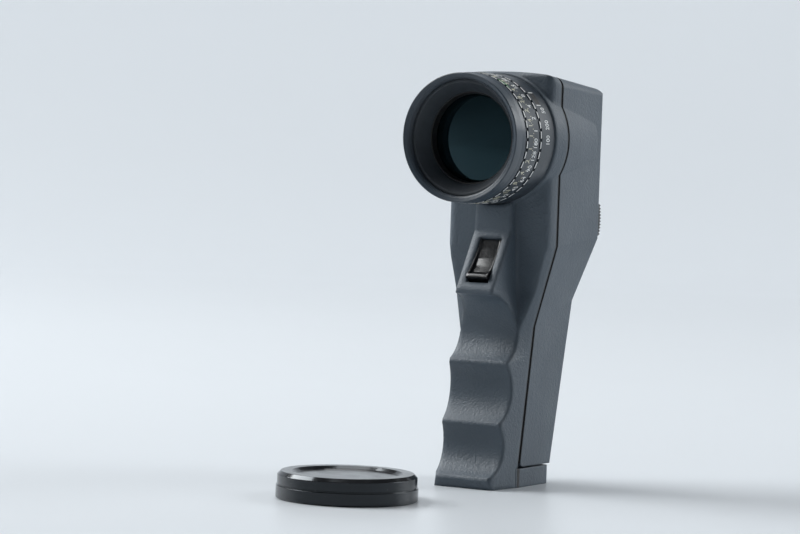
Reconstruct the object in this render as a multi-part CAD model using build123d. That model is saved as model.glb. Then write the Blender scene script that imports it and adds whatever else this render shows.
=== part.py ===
from build123d import *
from functools import cache
import math
import os

# Hand-held spot meter: a lens barrel with two dials on a two-part housing that narrows
# into a grip with finger grooves. The barrel points along -Y, X is the width, and the
# base rests on Z = 0.

# Housing outline, seen from the front and from the side
axis_height = 120.3
crown_rise = 23.7
top_height = axis_height + crown_rise
top_fall_angle = 5.3
crown_radius = 150.0
crown_edge_radius = 4.0
wall = 2.0
head_half_width = 20.55
head_front_half_width = 19.4
head_rear_half_width = 20.2
head_rear_y = 39.3
head_front_corner_radius = 2.8
head_rear_top_radius = 6.0
head_front_top_radius = 1.5
upper_crease_height = 83.3
upper_crease_tilt = 4.5
lower_crease_height = 54.3
lower_crease_tilt = 17.0
grip_half_width = 13.9
grip_front_half_width = 7.8
grip_rear_half_width = 14.0
grip_rear_y = 33.3
base_half_width = 13.3
base_front_half_width = 11.0
base_rear_half_width = 13.9
base_rear_y = 18.5
base_lip_y = -18.6
base_lip_bulge = 1.4
base_lip_height = 4.0
grip_corner_radius = 3.5
rear_corner_radius = 2.0
base_front_y = -21.2
grip_front_y = -12.0
ridge_level = 44.0
ridge_level_front_y = -12.6
ridge_level_half_width = 11.0
least_radius_share = 0.25
front_reach = 23.0
overrun = 2.0

# Finger grooves down the front of the grip: where each is deepest, and its radius
upper_groove_y = -3.4
upper_groove_height = 54.69
upper_groove_radius = 12.02
middle_groove_y = -7.9
middle_groove_height = 34.14
middle_groove_radius = 13.54
lower_groove_y = -12.0
lower_groove_height = 14.68
lower_groove_radius = 11.27
upper_ridge_y = -11.9
upper_ridge_height = 43.3
lower_ridge_y = -15.2
lower_ridge_height = 22.4
ridge_radius = 1.2
brow_height = 68.0
brow_radius = 6.0

# Seam between the front and the rear housing
seam_gap = 1.1
seam_head_y = 5.2
seam_grip_y = 3.0
seam_base_y = -3.7
seam_corner_radius = 2.0
gasket_recess = 0.2
gasket_depth = 1.6

# Bulge that carries the barrel, and the cone that it fades out in
collar_front_y = -2.2
collar_front_radius = 22.9
bulge_radius = 23.75
bulge_end_y = 33.0
bulge_end_radius = 21.2

# Trigger nose
nose_face_y = -3.3
nose_bend_height = 88.0
nose_lip_y = -15.3
nose_lip_height = 68.3
nose_top_half_width = 6.9
nose_lip_half_width = 7.0
nose_root_half_width = 8.8
throat_half_width = 9.9
throat_root_half_width = 12.4
throat_height = 52.0
nose_bend_radius = 3.0
nose_lip_radius = 0.6

# Trigger, measured along the nose's slope and in from its surface
window_start = 2.2
window_length = 18.1
window_width = 8.8
pocket_depth = 6.4
trigger_side_gap = 0.2
trigger_top_gap = 0.25
pin_along = 5.2
pin_depth = 3.2
pin_radius = 1.0
pin_half_length = 6.2
running_gap = 0.05
knuckle_radius = 2.0
trigger_end_gap = 1.3
trigger_face_depth = 1.1
trigger_dish_depth = 1.5
trigger_lip_proud = 1.3
trigger_lip_length = 1.7
trigger_back_depth = 4.9
trigger_foot_depth = 2.3
trigger_rail = 0.7
trigger_rail_rise = 0.45
spring_wire_radius = 0.2
spring_pitch = 0.5
spring_turns = 2
switch_half_width = 3.0
switch_height = 5.0
switch_foot_height = 73.6
switch_gap = 0.75
switch_length = 8.0
switch_button_radius = 1.0
switch_button_length = 1.2

# Barrel, with lengths along Y and radii about its axis
rim_y = -30.0
rim_radius = 22.06
rim_edge = 0.5
rim_inner_radius = 20.6
rim_length = 4.4
filter_thread_radius = 20.3
barrel_radius = 20.0
barrel_front_y = -26.2
sleeve_front_y = -27.0
sleeve_flange_radius = 19.9
sleeve_radius = 19.05
sleeve_mouth_radius = 18.9
sleeve_throat_radius = 15.8
sleeve_rear_y = -21.3
ring_radius = 22.4
bezel_rear_y = -23.8
groove_width = 0.9
groove_floor_radius = 21.2
ring_gap = 0.15
scale_ring_length = 9.0
speed_ring_length = 10.3
ring_bore_gap = 0.05
tooth_count = 40
tooth_band = 1.2
tooth_notch_width = 1.1
tooth_notch_depth = 0.5
lens_ring_shares = (1, 0.7, 0.35, 0)
lens_bore_radius = 16.5
lens_edge_y = -18.0
lens_edge_thickness = 3.6
lens_front_rise = -2.0
lens_rear_rise = -0.8
lens_ring_clear_radius = 15.1
lens_ring_front_radius = 15.5
spacer_bore_radius = 14.2
spacer_wall = 1.5
spacer_length = 5.0
rear_lens_thickness = 3.0
rear_lens_hollow = 0.8
spigot_radius = 16.35
spigot_bore_radius = 12.8
nut_width = 2.0
nut_radius = 17.6

# Optics block behind the barrel
block_half_width = 14.0
block_half_height = 14.4
block_wall = 2.0
block_rear_y = 29.5
splitter_thickness = 1.2
splitter_y = 11.5
splitter_angle = 45.0
splitter_length = 26.0
sensor_radius = 4.5
sensor_height = 5.0
partition_y = 22.0
partition_thickness = 1.5
screen_radius = 8.5
screen_thickness = 1.2
sight_radius = 7.0
display_width = 11.0
display_length = 3.0
display_height = 4.0

# Eyepiece on the rear face
tube_radius = 9.0
tube_bore_radius = 7.2
tube_rear_y = 47.9
tube_flange_radius = 10.5
tube_flange_thickness = 1.5
diopter_front_gap = 1.1
diopter_length = 5.4
diopter_radius = 11.2
diopter_flutes = 24
diopter_flute_radius = 0.8
cell_length = 6.6
cell_front_y = 38.6
cell_bore_radius = 5.9
eye_lens_radius = 6.4
eye_lens_edge = 1.8
eye_lens_rise = 0.8
eye_lens_hollow = 0.4
eyecup_gap = 0.3
eyecup_length = 4.8
eyecup_radius = 11.7
eyecup_waist = 10.4
eyecup_sight_radius = 6.8

# Thumb rest across the rear of the head
thumb_drop = 21.7
thumb_height = 11.3
thumb_half_width = 20.0
thumb_high = axis_height - thumb_drop
thumb_low = thumb_high - thumb_height
thumb_bed = 1.3
thumb_rise = 1.1
thumb_end_rise = 0.3
thumb_ribs = 10
thumb_rib_depth = 0.55

# Battery bay in the foot of the grip
cover_height = 6.5
cover_front_y = -4.8
cover_rear_y = 18.0
cover_line = 0.12
cover_gap = 0.6
cover_edge_radius = 1.0
upright_share = 0.9
floor_thickness = 2.0
battery_y = 5.6
battery_radius = 6.5
battery_length = 25.2
battery_step_radius = 3.2
battery_step = 0.5
battery_lift = 0.1
bay_gap = 0.35
bay_wall = 1.1
contact_radius = 4.5
contact_thickness = 0.5
cup_spring_radius = 4.6
cup_spring_height = 3.0
rail_inner_x = 8.6
rail_web = 1.2
rail_foot = 2.4
rail_foot_height = 1.2
rail_low = 2.4
rail_front_y = -3.4
rail_length = 17.0
rail_gap = 0.15

# Circuit board, screws and strap lug
board_x = -8.8
board_thickness = 1.6
board_low = 41.0
board_high = 96.0
board_front_y = 3.0
board_depth = 17.0
chip_size = 7.0
chip_height = 1.3
chip_low = 62.0
chip_step = 11.0
chip_count = 3
stud_radius = 1.6
stud_y = 9.0
stud_low = 46.0
stud_step = 9.0
stud_count = 2
screw_x = 16.3
screw_low_drop = 15.8
screw_high_rise = 10.9
screw_low = axis_height - screw_low_drop
screw_high = axis_height + screw_high_rise
screw_radius = 1.0
screw_length = 8.0
screw_head_radius = 1.9
screw_head_height = 1.2
screw_head_gap = 0.1
post_radius = 1.8
lug_y = 9.0
lug_height = 16.0
lug_thickness = 2.4
lug_radius = 3.0
lug_reach = 15.7
lug_hole_radius = 1.5

# Lens cap, taken off and laid in front of the grip
cap_x = -12.0
cap_y = -76.0
cap_radius = 23.5
cap_height = 9.0
cap_top = 1.6
cap_bore_gap = 0.1
cap_step_height = 4.8
cap_step = 0.35
cap_line = 0.5
cap_rim_width = 6.4
cap_rim_rise = 0.9
cap_bevel = 1.2
cap_foot_bevel = 0.4

BARREL = Plane(origin=(0, 0, axis_height), x_dir=(0, 1, 0), z_dir=(1, 0, 0))
BARREL_AXIS = Axis((0, 0, axis_height), (0, 1, 0))


def flat_face(points):
    """A flat face inside straight lines through the points."""
    return make_face(Polyline(*points, close=True))


def across(face, half_width):
    """A side-view face (Y, Z) carried out along X to both sides."""
    return extrude(Plane.YZ * face, amount=half_width, both=True)


def turned(points):
    """A ring or disc turned about the barrel's axis from (along Y, radius) points."""
    return revolve(BARREL * flat_face(points), BARREL_AXIS, 360)


def block(x_pair, y_pair, z_pair):
    """A rectangular block between two values on each axis."""
    size = [pair[1] - pair[0] for pair in (x_pair, y_pair, z_pair)]
    middle = [(pair[1] + pair[0]) / 2 for pair in (x_pair, y_pair, z_pair)]
    return Pos(*middle) * Box(*size)


def rod(x, z, radius, y_pair):
    """A round rod along Y at (x, z) between two values of Y."""
    length = y_pair[1] - y_pair[0]
    return Pos(x, y_pair[0] + length / 2, z) * Rot(X=90) * Cylinder(radius, length)


def bar(y, z, radius, x_pair):
    """A round rod along X at (y, z) between two values of X."""
    length = x_pair[1] - x_pair[0]
    return Pos(x_pair[0] + length / 2, y, z) * Rot(Y=90) * Cylinder(radius, length)


def between(start, end, share):
    """The value a share of the way from start to end."""
    return start + (end - start) * share


def plan_section(level, tilt, front, seam, rear, widths, radii, inset):
    """The housing's outline on a plane at a height, tipped up towards the rear."""
    lean = math.radians(tilt)
    front_half, seam_half, rear_half = widths
    outline = [
        (-front_half, front / math.cos(lean)),
        (front_half, front / math.cos(lean)),
        (seam_half, seam / math.cos(lean)),
        (rear_half, rear / math.cos(lean)),
        (-rear_half, rear / math.cos(lean)),
        (-seam_half, seam / math.cos(lean)),
    ]
    face = flat_face(outline)
    if inset > 0:
        face = offset(face, amount=-inset, kind=Kind.INTERSECTION)
    least = min(radii) * least_radius_share
    face = fillet(face.vertices().sort_by(Axis.Y)[:2], max(radii[0] - inset, least))
    face = fillet(face.vertices().sort_by(Axis.Y)[-2:], max(radii[1] - inset, least))
    plane = Plane(origin=(0, 0, level), x_dir=(1, 0, 0), z_dir=(0, -math.sin(lean), math.cos(lean)))
    return plane * face


def plan_body(inset):
    """The tapering column through the base, the upper ridge, the two creases and the head."""
    lean = math.tan(math.radians(lower_crease_tilt))
    rise = ridge_level + overrun
    seam_share = rise / (lower_crease_height + seam_grip_y * lean + overrun)
    rear_share = rise / (lower_crease_height + grip_rear_y * lean + overrun)
    head_widths = (head_front_half_width, head_half_width, head_rear_half_width)
    head_radii = (head_front_corner_radius, rear_corner_radius)
    grip_radii = (grip_corner_radius, rear_corner_radius)
    sections = [
        plan_section(-overrun, 0, base_front_y, seam_base_y, base_rear_y,
                     (base_front_half_width, base_half_width, base_rear_half_width), grip_radii, inset),
        plan_section(ridge_level, 0, ridge_level_front_y,
                     between(seam_base_y, seam_grip_y, seam_share), between(base_rear_y, grip_rear_y, rear_share),
                     (ridge_level_half_width, between(base_half_width, grip_half_width, seam_share),
                      between(base_rear_half_width, grip_rear_half_width, rear_share)), grip_radii, inset),
        plan_section(lower_crease_height, lower_crease_tilt, grip_front_y, seam_grip_y, grip_rear_y,
                     (grip_front_half_width, grip_half_width, grip_rear_half_width), grip_radii, inset),
        plan_section(upper_crease_height, upper_crease_tilt, 0, seam_head_y, head_rear_y,
                     head_widths, head_radii, inset),
        plan_section(top_height + overrun, 0, 0, seam_head_y, head_rear_y, head_widths, head_radii, inset),
    ]
    return loft(sections, ruled=True)


def groove_circles(inset):
    """The three finger grooves as circles in the side view."""
    places = [
        (upper_groove_y, upper_groove_height, upper_groove_radius),
        (middle_groove_y, middle_groove_height, middle_groove_radius),
        (lower_groove_y, lower_groove_height, lower_groove_radius),
    ]
    return [Pos(y - radius, z) * Circle(radius + inset) for y, z, radius in places]


def corners_near(face, spots):
    """The corners of a side-view face that lie nearest to the given spots."""
    return [face.vertices().sort_by_distance(Vector(y, z, 0))[0] for y, z in spots]


def side_face(inset):
    """The side view: straight back, flat base, grooves with rounded ridges, rounded brow."""
    rear = head_rear_y + overrun
    fall = math.tan(math.radians(top_fall_angle))
    outline = [
        (base_lip_y, 0),
        (base_lip_y - base_lip_bulge, base_lip_height),
        (lower_ridge_y, lower_ridge_height),
        (upper_ridge_y, upper_ridge_height),
        (upper_groove_y, upper_groove_height),
        (0, brow_height),
        (0, top_height),
        (head_rear_y, top_height - head_rear_y * fall),
        (head_rear_y, brow_height),
        (rear, brow_height),
        (rear, 0),
    ]
    face = flat_face(outline)
    if inset > 0:
        face = offset(face, amount=-inset, kind=Kind.INTERSECTION)
    for circle in groove_circles(inset):
        face = face - circle
    face = Sketch() + face
    ridges = [
        (base_lip_y - base_lip_bulge, base_lip_height),
        (lower_ridge_y, lower_ridge_height),
        (upper_ridge_y, upper_ridge_height),
    ]
    if inset < ridge_radius:
        face = fillet(corners_near(face, ridges), ridge_radius - inset)
        face = fillet(corners_near(face, [(inset, top_height - inset)]), head_front_top_radius - inset)
    face = fillet(corners_near(face, [(inset, brow_height)]), brow_radius + inset)
    rear_top = (head_rear_y - inset, top_height - head_rear_y * fall - inset)
    if inset < head_rear_top_radius:
        face = fillet(corners_near(face, [rear_top]), head_rear_top_radius - inset)
    return face


def crowned(half_width, edge_radius, drop):
    """Everything under the crowned top, which falls towards the rear."""
    lean = math.radians(top_fall_angle)
    start = front_reach
    side_height = crown_radius - math.sqrt(crown_radius ** 2 - half_width ** 2)
    arc = ThreePointArc((-half_width, -side_height), (0, 0), (half_width, -side_height))
    sides = Polyline((half_width, -side_height), (half_width, -2 * top_height),
                     (-half_width, -2 * top_height), (-half_width, -side_height))
    face = make_face(arc + sides)
    if edge_radius > 0:
        face = fillet(face.vertices().sort_by(Axis.Y)[-2:], edge_radius)
    height = top_height - drop + start * math.tan(lean)
    plane = Plane(origin=(0, -start, height), x_dir=(1, 0, 0), z_dir=(0, -1, 0))
    length = (start + head_rear_y + overrun) / math.cos(lean)
    return extrude(plane * face, amount=length, dir=(0, math.cos(lean), -math.sin(lean)))


def bulge(inset):
    """The collar in front of the head and the cone that fades into its sides."""
    slope_points = [
        (collar_front_y + inset, 0),
        (collar_front_y + inset, collar_front_radius - inset),
        (seam_head_y, bulge_radius - inset),
        (bulge_end_y, bulge_end_radius - inset),
        (bulge_end_y, 0),
    ]
    return turned(slope_points) & crowned(bulge_radius + overrun, 0, inset)


@cache
def housing_form(inset):
    """The closed outside of the housing, or the same form a wall's thickness further in."""
    body = plan_body(inset) & across(side_face(inset), head_half_width + overrun)
    body = body & crowned(head_half_width - inset, crown_edge_radius, inset)
    return body + bulge(inset)


def seam_line(shift):
    """The seam in the side view, from above the head down to the foot."""
    return [
        (seam_head_y + shift, top_height + front_reach),
        (seam_head_y + shift, upper_crease_height),
        (seam_grip_y + shift, lower_crease_height),
        (seam_base_y + shift, cover_height + cover_gap),
    ]


def rear_region():
    """What lies behind the seam and above the battery cover."""
    bottom = cover_height + cover_gap
    far = head_rear_y + front_reach
    face = flat_face(seam_line(seam_gap) + [(far, bottom), (far, top_height + front_reach)])
    face = fillet(corners_near(face, [(seam_base_y + seam_gap, bottom)]), seam_corner_radius)
    return across(face, head_half_width + front_reach)


def front_region():
    """What lies in front of the seam and of the battery cover."""
    foot_y = cover_front_y - cover_line
    foot_top = cover_height + cover_line
    face = flat_face(seam_line(0) + [
        (seam_base_y, foot_top), (foot_y, foot_top), (foot_y, -overrun),
        (rim_y, -overrun), (rim_y, top_height + front_reach)])
    return across(face, head_half_width + front_reach)


def seam_region():
    """The narrow band between the two housings."""
    face = flat_face(seam_line(0) + list(reversed(seam_line(seam_gap))))
    return across(face, head_half_width + front_reach)


def slope_point(along, depth):
    """A side-view point at a distance down the nose's slope and a depth under it."""
    run = nose_lip_y - nose_face_y
    drop = nose_lip_height - nose_bend_height
    length = math.hypot(run, drop)
    down = (run / length, drop / length)
    return (nose_face_y + down[0] * along - down[1] * depth,
            nose_bend_height + down[1] * along + down[0] * depth)


def nose_section(level, front, front_half, rear, rear_half):
    """One level of the nose, narrower in front."""
    face = flat_face([(-front_half, front), (front_half, front), (rear_half, rear), (-rear_half, rear)])
    return Pos(0, 0, level) * face


def trigger_nose():
    """The wedge under the barrel that carries the trigger, with its overhanging lip."""
    top = axis_height - collar_front_radius + overrun
    front = nose_lip_y - nose_lip_radius
    root = seam_grip_y
    wedge = loft([
        nose_section(throat_height, front, throat_half_width, root, throat_root_half_width),
        nose_section(nose_lip_height, front, nose_lip_half_width, root, nose_root_half_width),
        nose_section(top, nose_face_y, nose_top_half_width, root, nose_top_half_width),
    ], ruled=True)
    wide = flat_face([
        (root, top), (nose_face_y, top), (nose_face_y, nose_bend_height),
        (nose_lip_y, nose_lip_height), (nose_lip_y, throat_height), (root, throat_height)])
    face = Sketch() + (wide - groove_circles(0)[0])
    groove_y = upper_groove_y - upper_groove_radius
    lip_rise = math.sqrt(upper_groove_radius ** 2 - (nose_lip_y - groove_y) ** 2)
    face = fillet(corners_near(face, [(nose_face_y, nose_bend_height)]), nose_bend_radius)
    lips = [(nose_lip_y, nose_lip_height), (nose_lip_y, upper_groove_height + lip_rise)]
    face = fillet(corners_near(face, lips), nose_lip_radius)
    nose = wedge & across(face, throat_root_half_width)
    clear = collar_front_radius
    room = turned([(rim_y, 0), (rim_y, clear), (collar_front_y, clear), (collar_front_y, 0)])
    return nose - room


def trigger_pocket():
    """The window in the slope and the pocket behind it."""
    end = window_start + window_length
    face = flat_face([
        slope_point(window_start, -overrun), slope_point(end, -overrun),
        slope_point(end, pocket_depth), slope_point(window_start, pocket_depth)])
    return across(face, window_width / 2)


def trigger_lip_start():
    """Distance down the slope at which the trigger's proud lip starts."""
    return window_start + window_length - trigger_end_gap - trigger_lip_length


def trigger_middle():
    """Distance down the slope of the middle of the trigger's face."""
    return (window_start + trigger_top_gap + trigger_lip_start()) / 2


def switch_front_y():
    """Y of the switch's front face, behind the trigger's back and the button."""
    back_y = slope_point(trigger_middle(), trigger_back_depth)[0]
    return back_y + switch_gap + switch_button_length


def switch_room(front_y):
    """The straight passage that the trigger switch sits in."""
    return block((-switch_half_width, switch_half_width), (front_y, switch_front_y() + switch_length),
                 (switch_foot_height, switch_foot_height + switch_height))


@cache
def cavity():
    """The hollow inside both housings, closed above the battery cover."""
    floor = cover_height + cover_gap + floor_thickness
    wide = head_half_width + front_reach
    above = block((-wide, wide), (rim_y, head_rear_y), (floor, top_height))
    return housing_form(wall) & above


def screw_places():
    """The four screws that join the housings, as (x, z)."""
    return [(side * screw_x, z) for side in (-1, 1) for z in (screw_low, screw_high)]


def front_housing():
    """Front shell with the collar, the nose, the finger grooves and the screw posts."""
    hollow = cavity()
    shell = housing_form(0) - hollow
    shell = (shell & front_region()) + (trigger_nose() & front_region()) - (hollow & front_region())
    for x, z in screw_places():
        post = rod(x, z, post_radius, (collar_front_y, head_rear_y - wall)) & housing_form(wall / 2)
        shell = shell + post - rod(x, z, screw_radius, (wall, head_rear_y))
    bore = turned([(rim_y, 0), (rim_y, spigot_radius), (wall, spigot_radius), (wall, 0)])
    shell = shell - bore - trigger_pocket() - switch_room(slope_point(pin_along, 0)[0])
    pin_y, pin_z = slope_point(pin_along, pin_depth)
    return shell - bar(pin_y, pin_z, pin_radius, (-pin_half_length, pin_half_length))


def rail_shape(side, grow, y_pair):
    """One of the two foot rails that the battery cover hangs on."""
    low = rail_low - grow
    inner = rail_inner_x - grow
    web = rail_inner_x + rail_web + grow
    foot = rail_inner_x + rail_foot + grow
    foot_top = rail_low + rail_foot_height + grow
    high = cover_height + cover_gap
    face = flat_face([(side * inner, low), (side * foot, low), (side * foot, foot_top),
                      (side * web, foot_top), (side * web, high), (side * inner, high)])
    plane = Plane(origin=(0, y_pair[1], 0), x_dir=(1, 0, 0), z_dir=(0, -1, 0))
    return extrude(plane * face, amount=y_pair[1] - y_pair[0])


def thumb_face(grow):
    """Side view of the thumb rest's bed, let into the rear face."""
    bed = head_rear_y - thumb_bed
    out = head_rear_y + thumb_rise + overrun
    return flat_face([(bed, thumb_low - grow), (out, thumb_low - grow),
                      (out, thumb_high + grow), (bed, thumb_high + grow)])


def rear_housing():
    """Rear shell with the eyepiece hole, screw seats, thumb bed, board studs and cover rails."""
    shell = (housing_form(0) - cavity()) & rear_region()
    for stud in range(stud_count):
        z = stud_low + stud * stud_step
        stalk = bar(stud_y, z, stud_radius, (-head_half_width, board_x - board_thickness))
        shell = shell + (stalk & housing_form(wall / 2))
    shell = shell - rod(0, axis_height, tube_radius, (head_rear_y - 2 * wall, head_rear_y + wall))
    for x, z in screw_places():
        seat_y = head_rear_y - screw_head_height
        shell = shell - rod(x, z, screw_radius + screw_head_gap, (head_rear_y - 2 * wall, head_rear_y))
        shell = shell - rod(x, z, screw_head_radius + screw_head_gap, (seat_y, head_rear_y + wall))
    shell = shell - across(thumb_face(0), thumb_half_width)
    floor = cover_height + cover_gap
    hole = Cylinder(battery_radius + bay_gap, floor_thickness + 2 * overrun)
    shell = shell - Pos(0, battery_y, floor + floor_thickness / 2) * hole
    for side in (-1, 1):
        shell = shell + rail_shape(side, 0, (rail_front_y, rail_front_y + rail_length))
    return shell


def seam_gasket():
    """Black gasket in the seam, set back from the outside."""
    ring = housing_form(gasket_recess) - housing_form(gasket_recess + gasket_depth)
    floor = cover_height + cover_gap + floor_thickness
    wide = head_half_width + front_reach
    above = block((-wide, wide), (rim_y, head_rear_y), (floor, top_height))
    return ring & seam_region() & above


def thumb_rest():
    """Ribbed pad for the thumb, rounded across its height."""
    pitch = thumb_height / thumb_ribs
    bed = head_rear_y - thumb_bed
    points = [(bed, thumb_low)]
    for step in range(2 * thumb_ribs + 1):
        z = thumb_low + step * pitch / 2
        share = 1 - (2 * (z - thumb_low) / thumb_height - 1) ** 2
        rise = thumb_end_rise + (thumb_rise - thumb_end_rise) * share
        dip = thumb_rib_depth if step % 2 == 0 else 0
        points.append((head_rear_y + rise - dip, z))
    points.append((bed, thumb_high))
    return across(flat_face(points), thumb_half_width)


def battery_cover():
    """Foot of the grip behind the hairline, which slides off to the rear on two rails."""
    wide = head_half_width
    foot = housing_form(0) & block((-wide, wide), (cover_front_y, cover_rear_y), (0, cover_height))
    upright = [edge for edge in foot.edges()
               if edge.center().Y > cover_rear_y - cover_line and abs(edge.tangent_at(0).Z) > upright_share]
    foot = fillet(upright, cover_edge_radius)
    for side in (-1, 1):
        end = rail_front_y + rail_length + rail_gap
        foot = foot - rail_shape(side, rail_gap, (cover_front_y - overrun, end))
    recess = Cylinder(contact_radius, contact_thickness)
    return foot - Pos(0, battery_y, cover_height - contact_thickness / 2) * recess


def battery_contact():
    """Round contact let into the cover's top."""
    disc = Cylinder(contact_radius, contact_thickness)
    return Pos(0, battery_y, cover_height - contact_thickness / 2) * disc


def upright_tube(outer, inner, low, high):
    """A tube about the battery's axis."""
    height = high - low
    solid = Cylinder(outer, height) - Cylinder(inner, height)
    return Pos(0, battery_y, low + height / 2) * solid


def battery():
    """Cylinder cell with its raised end contact on top."""
    low = cover_height + battery_lift
    body_height = battery_length - battery_step
    body = Pos(0, battery_y, low + body_height / 2) * Cylinder(battery_radius, body_height)
    tip_middle = low + body_height + battery_step / 2
    return body + Pos(0, battery_y, tip_middle) * Cylinder(battery_step_radius, battery_step)


def spring_seat():
    """Height of the battery's upper end."""
    return cover_height + battery_lift + battery_length


def battery_tube():
    """Sleeve round the battery with a closed top that holds the contact spring."""
    low = cover_height + cover_gap + floor_thickness
    top = spring_seat() + cup_spring_height
    inner = battery_radius + bay_gap
    sleeve = upright_tube(inner + bay_wall, inner, low, top)
    lid_height = bay_wall
    return sleeve + Pos(0, battery_y, top + lid_height / 2) * Cylinder(inner + bay_wall, lid_height)


def battery_spring():
    """Cupped contact spring pressed between the tube's lid and the battery."""
    low = spring_seat()
    high = low + cup_spring_height
    outer = [(0, low), (battery_step_radius, low), (cup_spring_radius, high)]
    inner = [(cup_spring_radius - contact_thickness, high), (battery_step_radius - contact_thickness,
             low + contact_thickness), (0, low + contact_thickness)]
    plane = Plane(origin=(0, battery_y, 0), x_dir=(1, 0, 0), z_dir=(0, -1, 0))
    return revolve(plane * flat_face(outer + inner), Axis((0, battery_y, 0), (0, 0, 1)), 360)


def trigger():
    """Lever with a dished face between two raised edges, a proud lip and a hinge knuckle."""
    top = window_start + trigger_top_gap
    lip = trigger_lip_start()
    end = lip + trigger_lip_length
    middle = trigger_middle()
    outline = [
        slope_point(top, trigger_face_depth),
        slope_point(middle, trigger_dish_depth),
        slope_point(lip - trigger_lip_length, trigger_face_depth / 2),
        slope_point(lip, -trigger_lip_proud),
        slope_point(end, -trigger_lip_proud),
        slope_point(end, trigger_foot_depth),
        slope_point(middle, trigger_back_depth),
        slope_point(pin_along, trigger_back_depth),
        slope_point(top, trigger_foot_depth),
    ]
    face = flat_face(outline) + Pos(*slope_point(pin_along, pin_depth)) * Circle(knuckle_radius)
    half = window_width / 2 - trigger_side_gap
    lever = across(face, half)
    raised = flat_face([
        slope_point(top, trigger_face_depth - trigger_rail_rise),
        slope_point(middle, trigger_dish_depth - 2 * trigger_rail_rise),
        slope_point(lip - trigger_lip_length, -trigger_rail_rise),
        slope_point(lip, -trigger_lip_proud),
        slope_point(lip, trigger_foot_depth),
        slope_point(top, trigger_foot_depth),
    ])
    edge = across(raised, half) - across(raised, half - trigger_rail)
    lever = lever + edge
    pin_y, pin_z = slope_point(pin_along, pin_depth)
    lever = lever - bar(pin_y, pin_z, pin_radius + running_gap, (-half, half))
    notch = bar(pin_y, pin_z, knuckle_radius + trigger_side_gap, (half - spring_room(), half))
    return lever - notch


def spring_room():
    """Width of the notch beside the knuckle that holds the trigger spring."""
    return spring_turns * spring_pitch + 4 * spring_wire_radius


def trigger_pin():
    """Pin across the nose that the trigger hangs on."""
    pin_y, pin_z = slope_point(pin_along, pin_depth)
    return bar(pin_y, pin_z, pin_radius, (-pin_half_length, pin_half_length))


def trigger_spring():
    """Torsion spring of square wire, wound round the pin beside the trigger's knuckle."""
    pin_y, pin_z = slope_point(pin_along, pin_depth)
    radius = pin_radius + running_gap + spring_wire_radius
    path = Helix(spring_pitch, spring_turns * spring_pitch, radius)
    start = Plane(origin=path @ 0, z_dir=path % 0)
    side = 2 * spring_wire_radius
    coil = sweep(start * Rectangle(side, side), path=path, is_frenet=True)
    half = window_width / 2 - trigger_side_gap
    inner_x = half - spring_room() + spring_wire_radius * 2
    return Pos(inner_x, pin_y, pin_z) * Rot(Y=90) * coil


def trigger_switch():
    """Push switch behind the trigger, with its button towards the lever."""
    middle = switch_foot_height + switch_height / 2
    front = switch_front_y()
    button = rod(0, middle, switch_button_radius, (front - switch_button_length, front))
    return switch_room(front) + button


def scale_ring_front():
    """Y of the scale ring's front face."""
    return bezel_rear_y + groove_width


def speed_ring_front():
    """Y of the film speed ring's front face."""
    return scale_ring_front() + scale_ring_length + groove_width


def front_bezel():
    """Front ring with the filter thread's bore and a rounded rim."""
    return turned([
        (rim_y, rim_inner_radius),
        (rim_y, rim_radius - rim_edge),
        (rim_y + rim_edge, rim_radius),
        (rim_y + rim_length, rim_radius),
        (bezel_rear_y, ring_radius),
        (bezel_rear_y, groove_floor_radius),
        (scale_ring_front() - ring_gap, groove_floor_radius),
        (scale_ring_front() - ring_gap, barrel_radius),
        (sleeve_front_y, barrel_radius),
        (sleeve_front_y, filter_thread_radius),
        (rim_y + rim_edge, filter_thread_radius),
    ])


def front_sleeve():
    """Dark sleeve whose cone leads from the thread down to the lens."""
    return turned([
        (sleeve_front_y, sleeve_mouth_radius),
        (sleeve_front_y, sleeve_flange_radius),
        (barrel_front_y, sleeve_flange_radius),
        (barrel_front_y, sleeve_radius),
        (sleeve_rear_y, sleeve_radius),
        (sleeve_rear_y, sleeve_throat_radius),
    ])


def lens_rear_y():
    """Y of the shoulder behind the front lens."""
    return lens_edge_y + lens_edge_thickness


def rear_lens_y():
    """Y of the shoulder behind the rear lens."""
    return lens_rear_y() + spacer_length + rear_lens_thickness


def lens_barrel():
    """Fixed tube that the dials turn on, with shoulders for the lenses and a rear spigot."""
    spigot_end = collar_front_y + wall + nut_width
    return turned([
        (barrel_front_y, sleeve_radius),
        (barrel_front_y, barrel_radius),
        (collar_front_y, barrel_radius),
        (collar_front_y, spigot_radius),
        (spigot_end, spigot_radius),
        (spigot_end, spigot_bore_radius),
        (rear_lens_y(), spigot_bore_radius),
        (rear_lens_y(), spacer_bore_radius),
        (lens_rear_y(), spacer_bore_radius),
        (lens_rear_y(), lens_bore_radius),
        (sleeve_rear_y, lens_bore_radius),
        (sleeve_rear_y, sleeve_radius),
    ])


def barrel_nut():
    """Ring nut that holds the barrel's spigot in the front housing."""
    front = collar_front_y + wall
    return turned([(front, spigot_radius), (front, nut_radius),
                   (front + nut_width, nut_radius), (front + nut_width, spigot_radius)])


def toothed_ring(front, length):
    """A dial on the barrel with a band of grip teeth round its front edge."""
    bore = barrel_radius + ring_bore_gap
    ring = turned([
        (front, bore), (front, ring_radius),
        (front + length, ring_radius), (front + length, bore)])
    low = ring_radius - tooth_notch_depth
    side = tooth_notch_width / 2
    cutter = block((-side, side), (front - overrun, front + tooth_band),
                   (axis_height + low, axis_height + ring_radius + overrun))
    cutters = [cutter.rotate(BARREL_AXIS, step * 360 / tooth_count) for step in range(tooth_count)]
    return ring - cutters


def scale_ring():
    """Dial with the exposure scales."""
    return toothed_ring(scale_ring_front(), scale_ring_length)


def film_speed_ring():
    """Dial for the film speed, next to the collar."""
    return toothed_ring(speed_ring_front(), speed_ring_length)


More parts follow.
